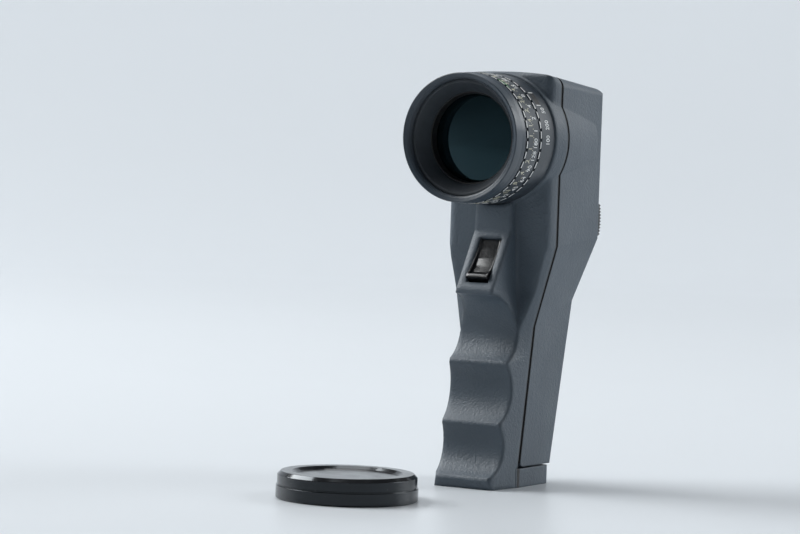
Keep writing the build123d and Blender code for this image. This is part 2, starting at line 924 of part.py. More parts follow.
def ring_washer():
    """Friction washer between the two dials."""
    front = scale_ring_front() + scale_ring_length + ring_gap
    rear = speed_ring_front() - ring_gap
    return turned([(front, barrel_radius), (front, groove_floor_radius),
                   (rear, groove_floor_radius), (rear, barrel_radius)])


def dome(edge, radius, rise):
    """Points of a lens face from its edge to the axis, along an arc centred on the axis."""
    sphere = (radius ** 2 + rise ** 2) / (2 * rise)
    points = []
    for share in lens_ring_shares:
        out = radius * share
        height = rise - sphere + math.copysign(math.sqrt(sphere ** 2 - out ** 2), sphere)
        points.append((edge + height, out))
    return points


def lens_disc(edge_front, edge_rear, radius, front_rise, rear_rise):
    """A round lens about the barrel's axis, with each face's rise measured along +Y."""
    front = dome(edge_front, radius, front_rise)
    rear = dome(edge_rear, radius, rear_rise)
    return turned(front + list(reversed(rear)))


def front_lens():
    """Large front lens."""
    return lens_disc(lens_edge_y, lens_rear_y(), lens_bore_radius, lens_front_rise, lens_rear_rise)


def rear_lens():
    """Smaller lens at the back of the barrel, hollow on both faces."""
    front = lens_rear_y() + spacer_length
    return lens_disc(front, rear_lens_y(), spacer_bore_radius, rear_lens_hollow, -rear_lens_hollow)


def lens_retaining_ring():
    """Black ring that clamps the front lens, with its back fitted to the glass."""
    ring = turned([
        (sleeve_rear_y, lens_ring_front_radius),
        (sleeve_rear_y, lens_bore_radius),
        (lens_edge_y, lens_bore_radius),
        (lens_edge_y, lens_ring_clear_radius),
        (lens_edge_y - rim_edge, lens_ring_clear_radius),
    ])
    return ring - front_lens()


def lens_spacer():
    """Spacer tube between the two lenses."""
    rear = lens_rear_y() + spacer_length
    inner = spacer_bore_radius - spacer_wall
    return turned([(lens_rear_y(), inner + spacer_wall / 2), (lens_rear_y(), spacer_bore_radius),
                   (rear, spacer_bore_radius), (rear, inner)])


def block_front_y():
    """Y of the optics block's front face."""
    return collar_front_y + wall + nut_width


def splitter_plate(width):
    """Glass plate across the block at an angle to the sight line."""
    plate = Box(2 * width, splitter_length, splitter_thickness)
    return Pos(0, splitter_y, axis_height) * Rot(X=splitter_angle) * plate


def optics_block():
    """Frame behind the barrel, open above, that carries the sight and metering parts."""
    front = block_front_y()
    outer_x = block_half_width
    inner_x = block_half_width - block_wall
    low = axis_height - block_half_height
    high = axis_height + block_half_height
    body = block((-outer_x, outer_x), (front, block_rear_y), (low, high))
    room = block((-inner_x, inner_x), (front + block_wall, block_rear_y - block_wall),
                 (low + block_wall, high + overrun))
    wall_slab = block((-inner_x, inner_x), (partition_y, partition_y + partition_thickness),
                      (low, high))
    body = body - room + wall_slab
    body = body - rod(0, axis_height, spigot_bore_radius, (front - overrun, front + block_wall + overrun))
    body = body - rod(0, axis_height, sight_radius, (partition_y - overrun, block_rear_y + overrun))
    sensor_hole = Cylinder(sensor_radius, 2 * sensor_height)
    return body - Pos(0, splitter_y, low) * sensor_hole


def beam_splitter():
    """Half mirror that sends part of the light down to the sensor."""
    low = axis_height - block_half_height + block_wall
    high = axis_height + block_half_height
    inner_x = block_half_width - block_wall
    front = block_front_y() + block_wall
    room = block((-inner_x, inner_x), (front, partition_y), (low, high))
    return splitter_plate(inner_x) & room


def light_sensor():
    """Sensor can under the beam splitter."""
    top = axis_height - block_half_height + block_wall
    can = Pos(0, splitter_y, top - sensor_height / 2) * Cylinder(sensor_radius, sensor_height)
    return can


def focusing_screen():
    """Round screen with the spot circle, seated on the partition."""
    return turned([(partition_y - screen_thickness, 0), (partition_y - screen_thickness, screen_radius),
                   (partition_y, screen_radius), (partition_y, 0)])


def number_display():
    """Lit display block under the sight line, behind the partition."""
    low = axis_height - block_half_height + block_wall
    front = partition_y + partition_thickness
    half = display_width / 2
    return block((-half, half), (front, front + display_length), (low, low + display_height))


def eyepiece_tube():
    """Fixed tube through the rear face, with a flange inside."""
    inside = head_rear_y - wall
    return turned([
        (block_rear_y, tube_bore_radius), (block_rear_y, tube_radius),
        (inside - tube_flange_thickness, tube_radius), (inside - tube_flange_thickness, tube_flange_radius),
        (inside, tube_flange_radius), (inside, tube_radius),
        (tube_rear_y, tube_radius), (tube_rear_y, tube_bore_radius)])


def diopter_ring():
    """Fluted ring on the eyepiece tube."""
    front = head_rear_y + diopter_front_gap
    rear = front + diopter_length
    inner = tube_radius + running_gap
    ring = turned([(front, inner), (front, diopter_radius), (rear, diopter_radius), (rear, inner)])
    flute = rod(0, axis_height + diopter_radius + diopter_flute_radius / 2, diopter_flute_radius,
                (front - overrun, rear + overrun))
    flutes = [flute.rotate(BARREL_AXIS, step * 360 / diopter_flutes) for step in range(diopter_flutes)]
    return ring - flutes


def eyepiece_cell():
    """Sliding mount of the eye lens."""
    rear = cell_front_y + cell_length
    outer = tube_bore_radius - running_gap
    return turned([
        (cell_front_y, eye_lens_radius), (cell_front_y, outer), (rear, outer), (rear, cell_bore_radius),
        (cell_front_y + eye_lens_edge + eye_lens_rise, cell_bore_radius),
        (cell_front_y + eye_lens_edge + eye_lens_rise, eye_lens_radius)])


def eyepiece_lens():
    """Eye lens in its cell."""
    front = cell_front_y + eye_lens_rise
    return lens_disc(front, front + eye_lens_edge, eye_lens_radius, -eye_lens_rise, -eye_lens_hollow)


def eyecup():
    """Soft ring round the eyepiece tube's rear end."""
    front = head_rear_y + diopter_front_gap + diopter_length + eyecup_gap
    rear = front + eyecup_length
    return turned([
        (front, tube_radius), (front, eyecup_waist), (front + eyecup_length / 2, eyecup_waist),
        (rear - eyecup_gap, eyecup_radius), (rear, eyecup_radius - eyecup_gap),
        (rear, eyecup_sight_radius + eyecup_gap), (tube_rear_y, eyecup_sight_radius),
        (tube_rear_y, tube_radius)])


def circuit_board():
    """Upright board on two studs, with a row of chips."""
    rear_y = board_front_y + board_depth
    board = block((board_x - board_thickness, board_x), (board_front_y, rear_y), (board_low, board_high))
    middle = board_front_y + board_depth / 2
    for chip in range(chip_count):
        low = chip_low + chip * chip_step
        board = board + block((board_x, board_x + chip_height), (middle - chip_size / 2, middle + chip_size / 2),
                              (low, low + chip_size))
    return board


def housing_screws():
    """Four screws through the rear face into the front housing's posts."""
    screws = []
    for x, z in screw_places():
        seat_y = head_rear_y - screw_head_height
        shank = rod(x, z, screw_radius, (seat_y - screw_length, seat_y))
        screws.append(shank + rod(x, z, screw_head_radius, (seat_y, head_rear_y - screw_head_gap)))
    return Compound(children=screws)


def strap_lug():
    """Small eye for the hand strap, low on the left side."""
    y_pair = (lug_y - lug_radius, lug_y + lug_radius)
    z_pair = (lug_height - lug_thickness / 2, lug_height + lug_thickness / 2)
    tab = block((-lug_reach, -base_half_width + wall), y_pair, z_pair)
    end = Pos(-lug_reach, lug_y, lug_height) * Cylinder(lug_radius, lug_thickness)
    hole = Pos(-lug_reach, lug_y, lug_height) * Cylinder(lug_hole_radius, 2 * lug_thickness)
    return tab + end - hole - housing_form(0)


def lens_cap():
    """Slip-on cap lying on its open side: stepped wall, raised bevelled rim, sunk middle."""
    bore = rim_radius + cap_bore_gap
    upper = cap_radius - cap_step
    middle = cap_radius - cap_rim_width
    face = flat_face([
        (bore, 0),
        (cap_radius - cap_foot_bevel, 0),
        (cap_radius, cap_foot_bevel),
        (cap_radius, cap_step_height - cap_line),
        (upper - cap_step, cap_step_height - cap_line),
        (upper - cap_step, cap_step_height),
        (upper, cap_step_height),
        (upper, cap_height - cap_bevel),
        (upper - cap_bevel, cap_height),
        (middle + cap_bevel, cap_height),
        (middle, cap_height - cap_rim_rise),
        (0, cap_height - cap_rim_rise),
        (0, cap_height - cap_rim_rise - cap_top),
        (bore, cap_height - cap_rim_rise - cap_top),
    ])
    plane = Plane(origin=(cap_x, cap_y, 0), x_dir=(1, 0, 0), z_dir=(0, -1, 0))
    return revolve(plane * face, Axis((cap_x, cap_y, 0), (0, 0, 1)), 360)


NODES = {
    "front_housing": front_housing,
    "rear_housing": rear_housing,
    "seam_gasket": seam_gasket,
    "thumb_rest": thumb_rest,
    "battery_cover": battery_cover,
    "battery_contact": battery_contact,
    "battery": battery,
    "battery_tube": battery_tube,
    "battery_spring": battery_spring,
    "trigger": trigger,
    "trigger_pin": trigger_pin,
    "trigger_spring": trigger_spring,
    "trigger_switch": trigger_switch,
    "front_bezel": front_bezel,
    "front_sleeve": front_sleeve,
    "lens_barrel": lens_barrel,
    "barrel_nut": barrel_nut,
    "scale_ring": scale_ring,
    "film_speed_ring": film_speed_ring,
    "ring_washer": ring_washer,
    "front_lens": front_lens,
    "rear_lens": rear_lens,
    "lens_retaining_ring": lens_retaining_ring,
    "lens_spacer": lens_spacer,
    "optics_block": optics_block,
    "beam_splitter": beam_splitter,
    "light_sensor": light_sensor,
    "focusing_screen": focusing_screen,
    "number_display": number_display,
    "eyepiece_tube": eyepiece_tube,
    "diopter_ring": diopter_ring,
    "eyepiece_cell": eyepiece_cell,
    "eyepiece_lens": eyepiece_lens,
    "eyecup": eyecup,
    "circuit_board": circuit_board,
    "housing_screws": housing_screws,
    "strap_lug": strap_lug,
    "lens_cap": lens_cap,
}

os.makedirs("parts", exist_ok=True)
for name, make in NODES.items():
    export_step(make(), f"parts/{name}.step")
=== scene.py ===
import functools
import math

import bmesh
import bpy
import numpy as np
from mathutils import Matrix, Vector


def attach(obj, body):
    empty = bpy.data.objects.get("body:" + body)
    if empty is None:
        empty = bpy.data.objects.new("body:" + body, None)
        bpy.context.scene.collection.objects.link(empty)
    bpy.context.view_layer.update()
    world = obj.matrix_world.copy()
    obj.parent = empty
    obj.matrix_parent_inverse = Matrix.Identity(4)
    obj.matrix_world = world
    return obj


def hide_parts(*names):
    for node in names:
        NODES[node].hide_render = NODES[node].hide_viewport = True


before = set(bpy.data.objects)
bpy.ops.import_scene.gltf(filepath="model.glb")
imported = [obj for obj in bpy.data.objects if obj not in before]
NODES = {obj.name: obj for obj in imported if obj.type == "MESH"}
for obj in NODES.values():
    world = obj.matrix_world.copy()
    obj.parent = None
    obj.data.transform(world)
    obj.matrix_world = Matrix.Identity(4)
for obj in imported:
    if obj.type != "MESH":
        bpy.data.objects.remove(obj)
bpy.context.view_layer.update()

bl_info = {
    "name": "Spot meter finish",
    "version": (1, 0, 0),
    "blender": (4, 5, 0),
    "location": "View3D > Sidebar > Spot meter",
    "description": "Builds the visible surfaces, marks and finishes of a hand-held spot meter",
    "category": "Object",
}

MM = 0.001
FULL_TURN = 2 * math.pi

# The barrel in millimetres: the height of its axis, places and lengths along it from the rim
# (-Y) to the rear, and radii about it
AXIS_HEIGHT = 120.3
RIM_Y = -30.0
RIM_RADIUS = 22.06
RIM_INNER_RADIUS = 20.6
BORE_RADIUS = 20.3
BEZEL_REAR_Y = -23.8
RING_RADIUS = 22.4
RING_BORE_RADIUS = 20.05
RING_FLOOR_RADIUS = 21.2
BARREL_RADIUS = 20.0
SLEEVE_FRONT_Y = -27.0
SCALE_RING_SPAN = (-22.9, -13.9)
SPEED_RING_SPAN = (-13.0, -2.7)
THREAD_START_Y = RIM_Y + 0.75
THREAD_LENGTH = 2.3
THREAD_DEPTH = 0.3
THREAD_SINK = 0.01
CONE_LIP_Y = -26.2
CONE_REAR_Y = -21.3
CONE_LIP_RADIUS = 19.9
CONE_BODY_RADIUS = 19.05
LENS_EDGE_Y = -18.0
LENS_RADIUS = 16.5

# The teeth round the front edge of each dial: how many, how wide along Y, and the notch between
# two of them as a depth and as a share of their pitch, with its flank as a share too
TOOTH_COUNT = 40
TOOTH_BAND = 1.2
TOOTH_NOTCH_DEPTH = 0.5
TOOTH_NOTCH_SHARE = 0.31
TOOTH_FLANK_SHARE = 0.03

# Marks start a little under the enamel, so that no gap shows below them
MARK_ROOT = 0.05

# The seam's middle in the side view, as height and Y, and the half widths where its shadow
# starts to fade and has gone
SEAM_FOOT = (7.1, -3.15)
SEAM_WAIST = (54.3, 3.55)
SEAM_HEAD = (83.3, 5.75)
SEAM_SHADOW = (0.74, 0.88)

# How finely shapes are cut, in steps round a turn and in steps for one tooth
AROUND_STEPS = 240
TOOTH_STEPS = 14
WELD_DISTANCE = 1e-7
SHARP_ANGLE = 32


class MeterColours(bpy.types.PropertyGroup):
    """Colours of the meter's finishes."""
    housing: bpy.props.FloatVectorProperty(
        name="Housing", description="Moulded plastic of the two housings", subtype="COLOR",
        size=3, min=0.0, max=1.0, default=(0.0585, 0.077, 0.0965))
    enamel: bpy.props.FloatVectorProperty(
        name="Enamel", description="Satin enamel of the barrel and dials", subtype="COLOR",
        size=3, min=0.0, max=1.0, default=(0.031, 0.043, 0.057))
    trigger: bpy.props.FloatVectorProperty(
        name="Trigger", description="Polished plastic of the trigger and cap", subtype="COLOR",
        size=3, min=0.0, max=1.0, default=(0.006, 0.006, 0.007))
    rubber: bpy.props.FloatVectorProperty(
        name="Rubber", description="Soft rubber of the eyecup", subtype="COLOR",
        size=3, min=0.0, max=1.0, default=(0.014, 0.014, 0.015))
    white_marks: bpy.props.FloatVectorProperty(
        name="White marks", description="Dashes, film speed numbers and rear row of scale numbers", subtype="COLOR",
        size=3, min=0.0, max=1.0, default=(0.84, 0.85, 0.84))
    cream_marks: bpy.props.FloatVectorProperty(
        name="Cream marks", description="Front row of scale numbers and the ticks", subtype="COLOR",
        size=3, min=0.0, max=1.0, default=(0.60, 0.58, 0.45))
    coating: bpy.props.FloatVectorProperty(
        name="Lens coating", description="Tint of the front lens", subtype="COLOR",
        size=3, min=0.0, max=1.0, default=(0.0015, 0.006, 0.008))


class MeterSizes(bpy.types.PropertyGroup):
    """Sizes of the meter's marks and trim."""
    dash_length: bpy.props.FloatProperty(
        name="Dash length", description="Length of a dash round the dial", unit="LENGTH",
        min=0.0005, max=0.0032, default=0.0024)
    dash_width: bpy.props.FloatProperty(
        name="Dash width", description="Width of a dash along the barrel", unit="LENGTH",
        min=0.0001, max=0.001, default=0.00045)
    mark_rise: bpy.props.FloatProperty(
        name="Mark rise", description="How far the marks stand off the enamel", unit="LENGTH",
        min=0.00001, max=0.0002, default=0.00005)
    scale_number_height: bpy.props.FloatProperty(
        name="Scale numbers", description="Height of the scale dial's numbers", unit="LENGTH",
        min=0.0005, max=0.003, default=0.0024)
    speed_number_height: bpy.props.FloatProperty(
        name="Speed numbers", description="Height of the film speed dial's numbers", unit="LENGTH",
        min=0.0005, max=0.004, default=0.0025)
    thread_pitch: bpy.props.FloatProperty(
        name="Thread pitch", description="Pitch of the filter thread", unit="LENGTH",
        min=0.0003, max=0.001, default=0.0005)


class StageSettings(bpy.types.PropertyGroup):
    """Light and floor of the studio."""
    floor_shade: bpy.props.FloatVectorProperty(
        name="Floor", description="Colour of the floor and backdrop", subtype="COLOR",
        size=3, min=0.0, max=1.0, default=(0.525, 0.552, 0.578))
    right_power: bpy.props.FloatProperty(
        name="Right box", description="Power of the softbox on the right", subtype="POWER",
        min=0.0, max=500.0, default=23.5)
    left_power: bpy.props.FloatProperty(
        name="Left box", description="Power of the softbox on the left", subtype="POWER",
        min=0.0, max=500.0, default=52.0)
    top_power: bpy.props.FloatProperty(
        name="Top box", description="Power of the softbox above", subtype="POWER",
        min=0.0, max=500.0, default=12.0)
    room_light: bpy.props.FloatProperty(
        name="Room light", description="Strength of the light from all round",
        min=0.0, max=5.0, default=0.14)


class Wiring:
    """A node tree with short calls for adding, setting and joining nodes."""

    def __init__(self, tree):
        self.tree = tree

    def put(self, value, socket):
        """Joins an output to a socket, or sets the socket itself to a constant."""
        if isinstance(value, bpy.types.NodeSocket):
            self.tree.links.new(value, socket)
        else:
            socket.default_value = value

    def add(self, kind, inputs=(), **settings):
        """A new node with its settings, and with what each of its inputs is joined or set to."""
        node = self.tree.nodes.new(kind)
        for key, value in settings.items():
            setattr(node, key, value)
        for label, value in dict(inputs).items():
            self.put(value, node.inputs[label])
        return node

    def calculate(self, operation, first, second=0.0):
        """The result of a math node; each operand is an output or a number."""
        return self.add("ShaderNodeMath", {0: first, 1: second}, operation=operation).outputs[0]

    def axes(self, place):
        """A place taken apart into X, Y and Z."""
        return self.add("ShaderNodeSeparateXYZ", {0: place}).outputs

    def noise(self, place, scale, detail):
        """Noise read at a place."""
        return self.add("ShaderNodeTexNoise", {"Vector": place, "Scale": scale, "Detail": detail}).outputs[0]

    def ramp(self, value, start, end, low=0.0, high=1.0, **settings):
        """Goes from low to high as the value goes from start to end, and stays there past both."""
        node = self.add("ShaderNodeMapRange", {
            "Value": value, "From Min": start, "From Max": end, "To Min": low, "To Max": high}, **settings)
        return node.outputs["Result"]


class EffectGroup(Wiring):
    """A shader node group that reads a place and some numbers and puts out heights or masks."""

    def __init__(self, name, **numbers):
        super().__init__(bpy.data.node_groups.new(name, "ShaderNodeTree"))
        sockets = self.tree.interface
        sockets.new_socket("Place", in_out="INPUT", socket_type="NodeSocketVector")
        for label, value in numbers.items():
            sockets.new_socket(label, in_out="INPUT", socket_type="NodeSocketFloat").default_value = value
        self.given = self.add("NodeGroupInput").outputs
        self.place = self.given["Place"]

    def put_out(self, **results):
        """Joins each result to an output of its name, and returns the group's tree."""
        for label in results:
            self.tree.interface.new_socket(label, in_out="OUTPUT", socket_type="NodeSocketFloat")
        self.add("NodeGroupOutput", results)
        return self.tree


@functools.cache
def grain_group():
    """Fine pebbled grain of moulded plastic: noise less the distance from the nearest pebble's
    middle, and a slower tone."""
    group = EffectGroup("Moulded grain", Scale=2500.0)
    scale = group.given["Scale"]
    pebbles = group.add("ShaderNodeTexVoronoi", {
        "Vector": group.place, "Scale": group.calculate("MULTIPLY", scale, 0.6)}, feature="SMOOTH_F1")
    fall = group.calculate("MULTIPLY", pebbles.outputs["Distance"], 0.6)
    height = group.calculate("SUBTRACT", group.noise(group.place, scale, 3.0), fall)
    tone = group.noise(group.place, group.calculate("MULTIPLY", scale, 0.02), 4.0)
    return group.put_out(Height=height, Tone=tone)


@functools.cache
def seam_group():
    """A dark band along the seam, a little wider than the gasket: the mask falls with the
    distance in Y from the seam's middle, which runs straight up the head and down the grip in
    two slopes."""
    group = EffectGroup("Seam shadow")
    axes = group.axes(group.place)
    (foot, foot_y), (waist, waist_y), (head, head_y) = (
        (height * MM, y * MM) for height, y in (SEAM_FOOT, SEAM_WAIST, SEAM_HEAD))
    upper = group.ramp(axes["Z"], waist, head, waist_y, head_y)
    lower = group.ramp(axes["Z"], foot, waist, foot_y - waist_y, 0.0)
    off_middle = group.calculate("SUBTRACT", axes["Y"], group.calculate("ADD", upper, lower))
    dark, clear = (width * MM for width in SEAM_SHADOW)
    return group.put_out(Mask=group.ramp(group.calculate("ABSOLUTE", off_middle), dark, clear, 1.0, 0.0))


@functools.cache
def turned_group():
    """Fine rings left by turning, round the barrel's axis: noise read along Y only."""
    group = EffectGroup("Turned rings", Scale=9000.0)
    rings = group.add("ShaderNodeTexNoise", {
        "W": group.axes(group.place)["Y"], "Scale": group.given["Scale"], "Detail": 2.0}, noise_dimensions="1D")
    return group.put_out(Height=rings.outputs[0])


@functools.cache
def handling_group():
    """Patches polished by hands: three parts of slow noise and one of stretched marks, pushed
    to a soft mask."""
    group = EffectGroup("Handling", Scale=60.0)
    scale = group.given["Scale"]
    stretch = group.add("ShaderNodeMapping", {
        "Vector": group.place, "Scale": (9.0, 9.0, 0.8), "Rotation": (0.5, 0.3, 0.0)})
    patches = group.calculate("MULTIPLY", group.noise(group.place, scale, 5.0), 0.75)
    marks = group.calculate("MULTIPLY", group.noise(stretch.outputs["Vector"], scale, 2.0), 0.25)
    return group.put_out(Mask=group.ramp(group.calculate("ADD", patches, marks), 0.35, 0.75))


@functools.cache
def dust_group():
    """Sparse pale specks: in about one cell of five, what lies within a distance of its point."""
    group = EffectGroup("Dust specks", Scale=900.0, Size=0.10)
    cells = group.add("ShaderNodeTexVoronoi", {"Vector": group.place, "Scale": group.given["Scale"]}).outputs
    inside = group.calculate("LESS_THAN", cells["Distance"], group.given["Size"])
    draw = group.add("ShaderNodeSeparateColor", {0: cells["Color"]}).outputs[0]
    chosen = group.calculate("GREATER_THAN", draw, 0.8)
    return group.put_out(Mask=group.calculate("MULTIPLY", inside, chosen))


class Shade(Wiring):
    """A material with one surface and short calls that feed it."""

    def __init__(self, name):
        self.material = bpy.data.materials.new(name)
        self.material.use_nodes = True
        super().__init__(self.material.node_tree)
        self.tree.nodes.clear()
        self.surface = self.add("ShaderNodeBsdfPrincipled")
        self.add("ShaderNodeOutputMaterial", {"Surface": self.surface.outputs["BSDF"]})
        self.place = self.add("ShaderNodeTexCoord").outputs["Object"]

    def feed(self, **values):
        """Joins or sets inputs of the surface; an underscore stands for the space in a name."""
        for label, value in values.items():
            self.put(value, self.surface.inputs[label.replace("_", " ")])

    def effect(self, group, **numbers):
        """The outputs of a copy of an effect group, which reads the object's own coordinates."""
        return self.add("ShaderNodeGroup", {"Place": self.place, **numbers}, node_tree=group).outputs

    def blend(self, mask, low, high):
        """A colour that goes from low to high where the mask rises."""
        low, high = (colour if isinstance(colour, bpy.types.NodeSocket) else (*colour, 1.0)
                     for colour in (low, high))
        return self.add("ShaderNodeMix", {0: mask, 6: low, 7: high}, data_type="RGBA").outputs[2]

    def handled(self, scale, low, high):
        """The mask of the patches polished by hands, with which the roughness goes from low to high."""
        mask = self.effect(handling_group(), Scale=scale)["Mask"]
        self.feed(Roughness=self.ramp(mask, 0.0, 1.0, low, high))
        return mask

    def relief(self, height, strength, distance, edge=0.0):
        """Feeds a height into the surface's normal, over edges rounded by a small radius."""
        bump = self.add("ShaderNodeBump", {"Strength": strength, "Distance": distance, "Height": height})
        if edge > 0:
            soft = self.add("ShaderNodeBevel", {"Radius": edge}, samples=6)
            self.put(soft.outputs["Normal"], bump.inputs["Normal"])
        self.feed(Normal=bump.outputs["Normal"])


def toned(colour, share):
    """A colour with each channel times a share."""
    return tuple(min(1.0, share * value) for value in colour)


def grained(name, colour, grain, depth=0.00004, rough=(0.45, 0.6), edge=0.0004, strength=0.6,
            dust=0.0, seam=False):
    """Moulded plastic or rubber with a fine pebbled grain, uneven sheen and softened edges."""
    shade = Shade(name)
    moulded = shade.effect(grain_group(), Scale=grain)
    shade.handled(60.0, rough[1], rough[0])
    tone = shade.blend(moulded["Tone"], colour, toned(colour, 1.25))
    if dust > 0:
        tone = shade.blend(shade.effect(dust_group(), Size=dust)["Mask"], tone, (0.22, 0.23, 0.24))
    if seam:
        tone = shade.blend(shade.effect(seam_group())["Mask"], tone, (0.004, 0.004, 0.0045))
    shade.feed(Base_Color=tone)
    shade.relief(moulded["Height"], strength, depth, edge)
    return shade


def turned_enamel(name, colour, rough=(0.3, 0.42), metal=0.0, depth=0.000006):
    """Satin enamel or bare metal with faint turning rings and uneven sheen."""
    shade = Shade(name)
    rings = shade.effect(turned_group())
    hands = shade.handled(90.0, rough[1], rough[0])
    shade.feed(Base_Color=shade.blend(hands, colour, toned(colour, 1.3)), Metallic=metal)
    shade.relief(rings["Height"], strength=0.5, distance=depth, edge=0.0002)
    return shade


def polished(name, colour, rough=(0.06, 0.16), edge=0.0003):
    """Polished plastic with a clear coat, faint smears and a few specks."""
    shade = Shade(name)
    shade.handled(140.0, *rough)
    specks = shade.effect(dust_group(), Scale=1100.0, Size=0.07)["Mask"]
    shade.feed(Base_Color=shade.blend(specks, colour, (0.25, 0.26, 0.27)), Coat_Weight=0.4)
    shade.relief(shade.effect(grain_group(), Scale=400.0)["Height"], strength=0.05, distance=0.00002, edge=edge)
    return shade


def lens_glass(name, tint, weight, gloss=0.5, mirror=(1.0, 1.0, 1.0)):
    """Clear or coated glass, with faint smears in its gloss."""
    shade = Shade(name)
    hands = shade.handled(80.0, low=0.02, high=0.04)
    shade.feed(Base_Color=shade.blend(hands, toned(tint, 0.8), tint), Transmission_Weight=weight,
               IOR=1.55, Specular_IOR_Level=gloss, Specular_Tint=(*mirror, 1.0))
    return shade


def printed_paint(name, colour):
    """Filled paint of the marks, slightly uneven."""
    shade = Shade(name)
    hands = shade.handled(700.0, low=0.45, high=0.6)
    shade.feed(Base_Color=shade.blend(hands, colour, toned(colour, 0.72)))
    return shade


def board_finish(name):
    """Green solder mask with copper traces drawn by a fine brick pattern."""
    shade = Shade(name)
    bricks = shade.add("ShaderNodeTexBrick", {
        "Vector": shade.place, "Scale": 380.0, "Mortar Size": 0.02, "Mortar": (0.05, 0.2, 0.08, 1.0),
        "Color1": (0.012, 0.09, 0.035, 1.0), "Color2": (0.016, 0.11, 0.045, 1.0)}).outputs
    shade.feed(Base_Color=bricks["Color"], Roughness=shade.ramp(bricks["Fac"], 0.0, 1.0, 0.3, 0.45))
    shade.relief(bricks["Fac"], strength=0.4, distance=0.00002)
    return shade


FINISHES = {}


def mix_finishes():
    """Mixes all the finishes into FINISHES, by name."""
    colours = bpy.context.scene.meter_colours
    moulding = {"grain": 1700.0, "depth": 0.00018, "rough": (0.42, 0.56), "strength": 0.9, "seam": True}
    FINISHES.update(
        housing=grained("housing_grain", colours.housing, edge=0.0009, **moulding),
        front_housing=grained("front_grain", colours.housing, edge=0.0024, **moulding),
        inner_plastic=grained("inner_moulding", (0.016, 0.016, 0.017), grain=1500.0),
        thumb_rest=grained("ribbed_plastic", (0.022, 0.024, 0.026), grain=2200.0, edge=0.0002),
        rubber=grained("eyecup_rubber", colours.rubber, grain=1800.0, rough=(0.6, 0.8), edge=0.0003, dust=0.09),
        gasket=grained("gasket_rubber", (0.004, 0.004, 0.0045), grain=1800.0, rough=(0.7, 0.85), edge=0.0),
        enamel=turned_enamel("barrel_enamel", colours.enamel),
        dial=turned_enamel("dial_enamel", toned(colours.enamel, 0.6), rough=(0.32, 0.45)),
        flat_black=turned_enamel("baffle_black", (0.027, 0.033, 0.040), rough=(0.46, 0.58), depth=0.00001),
        deep_black=turned_enamel("deep_black", (0.003, 0.003, 0.0034), rough=(0.55, 0.7)),
        trigger=polished("trigger_gloss", colours.trigger, rough=(0.19, 0.23), edge=0.0),
        cap=polished("cap_gloss", colours.trigger, rough=(0.12, 0.24)),
        steel=turned_enamel("plain_steel", (0.48, 0.48, 0.49), rough=(0.25, 0.4), metal=1.0),
        black_steel=turned_enamel("blackened_steel", (0.03, 0.03, 0.034), rough=(0.3, 0.45), metal=0.6),
        plated=turned_enamel("plated_spring", (0.62, 0.55, 0.38), rough=(0.2, 0.35), metal=1.0),
        sensor=turned_enamel("sensor_can", (0.6, 0.6, 0.6), rough=(0.3, 0.4), metal=1.0),
        cell_wrap=turned_enamel("cell_wrap", (0.35, 0.35, 0.37), rough=(0.3, 0.4), metal=0.7),
        display=polished("display_block", (0.2, 0.01, 0.01)),
        coated=lens_glass("coated_glass", colours.coating, 0.5, gloss=0.32, mirror=(0.45, 0.85, 1.0)),
        clear=lens_glass("clear_glass", (0.85, 0.9, 0.9), 1.0),
        board=board_finish("board_green"),
        white=printed_paint("white_paint", colours.white_marks),
        cream=printed_paint("cream_paint", colours.cream_marks),
        green=printed_paint("green_paint", (0.10, 0.26, 0.12)),
        # Black: print on the index dot, and painted shade for the inside of the speed dial's window
        black=printed_paint("black_paint", (0.004, 0.004, 0.004)),
    )
    FINISHES["gasket"].feed(Specular_IOR_Level=0.06)
    FINISHES["cap"].feed(Specular_IOR_Level=0.40, Specular_Tint=(0.82, 0.92, 1.0, 1.0), Coat_Weight=0.12)


def finish_nodes(**finishes):
    """Gives each CAD node that is named the finish that goes with it."""
    for node, finish in finishes.items():
        slots = NODES[node].data.materials
        slots.clear()
        slots.append(FINISHES[finish].material)


def make_piece(name, vertices, faces, finish, body, smooth=True, replaced=()):
    """A mesh object from vertex and face arrays, with its finish and body."""
    mesh = bpy.data.meshes.new(name)
    mesh.from_pydata(np.asarray(vertices, float).tolist(), [], [list(map(int, face)) for face in faces])
    mesh.validate()
    piece = bpy.data.objects.new(name, mesh)
    bpy.context.scene.collection.objects.link(piece)
    shell = bmesh.new()
    shell.from_mesh(mesh)
    bmesh.ops.remove_doubles(shell, verts=shell.verts, dist=WELD_DISTANCE)
    bmesh.ops.recalc_face_normals(shell, faces=shell.faces)
    shell.to_mesh(mesh)
    shell.free()
    if smooth:
        mesh.shade_smooth()
        mesh.set_sharp_from_angle(angle=math.radians(SHARP_ANGLE))
    mesh.materials.append(FINISHES[finish].material)
    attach(piece, body)
    if replaced:
        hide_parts(*replaced)


def rounded(points, radius, steps=4):
    """A closed outline whose corners are turned into short curves: at each corner a quadratic
    curve runs between two points that lie a radius away along its sides, or 0.45 of a side where
    that is less."""
    points = np.asarray(points, float)
    before = np.roll(points, 1, axis=0) - points
    after = np.roll(points, -1, axis=0) - points
    reach_before = np.minimum(radius, 0.45 * np.linalg.norm(before, axis=1))[:, None]
    reach_after = np.minimum(radius, 0.45 * np.linalg.norm(after, axis=1))[:, None]
    start = points + before / np.linalg.norm(before, axis=1)[:, None] * reach_before
    end = points + after / np.linalg.norm(after, axis=1)[:, None] * reach_after
    t = np.linspace(0, 1, steps)[None, :, None]
    curve = (1 - t) ** 2 * start[:, None] + 2 * t * (1 - t) * points[:, None] + t ** 2 * end[:, None]
    return curve.reshape(-1, 2)


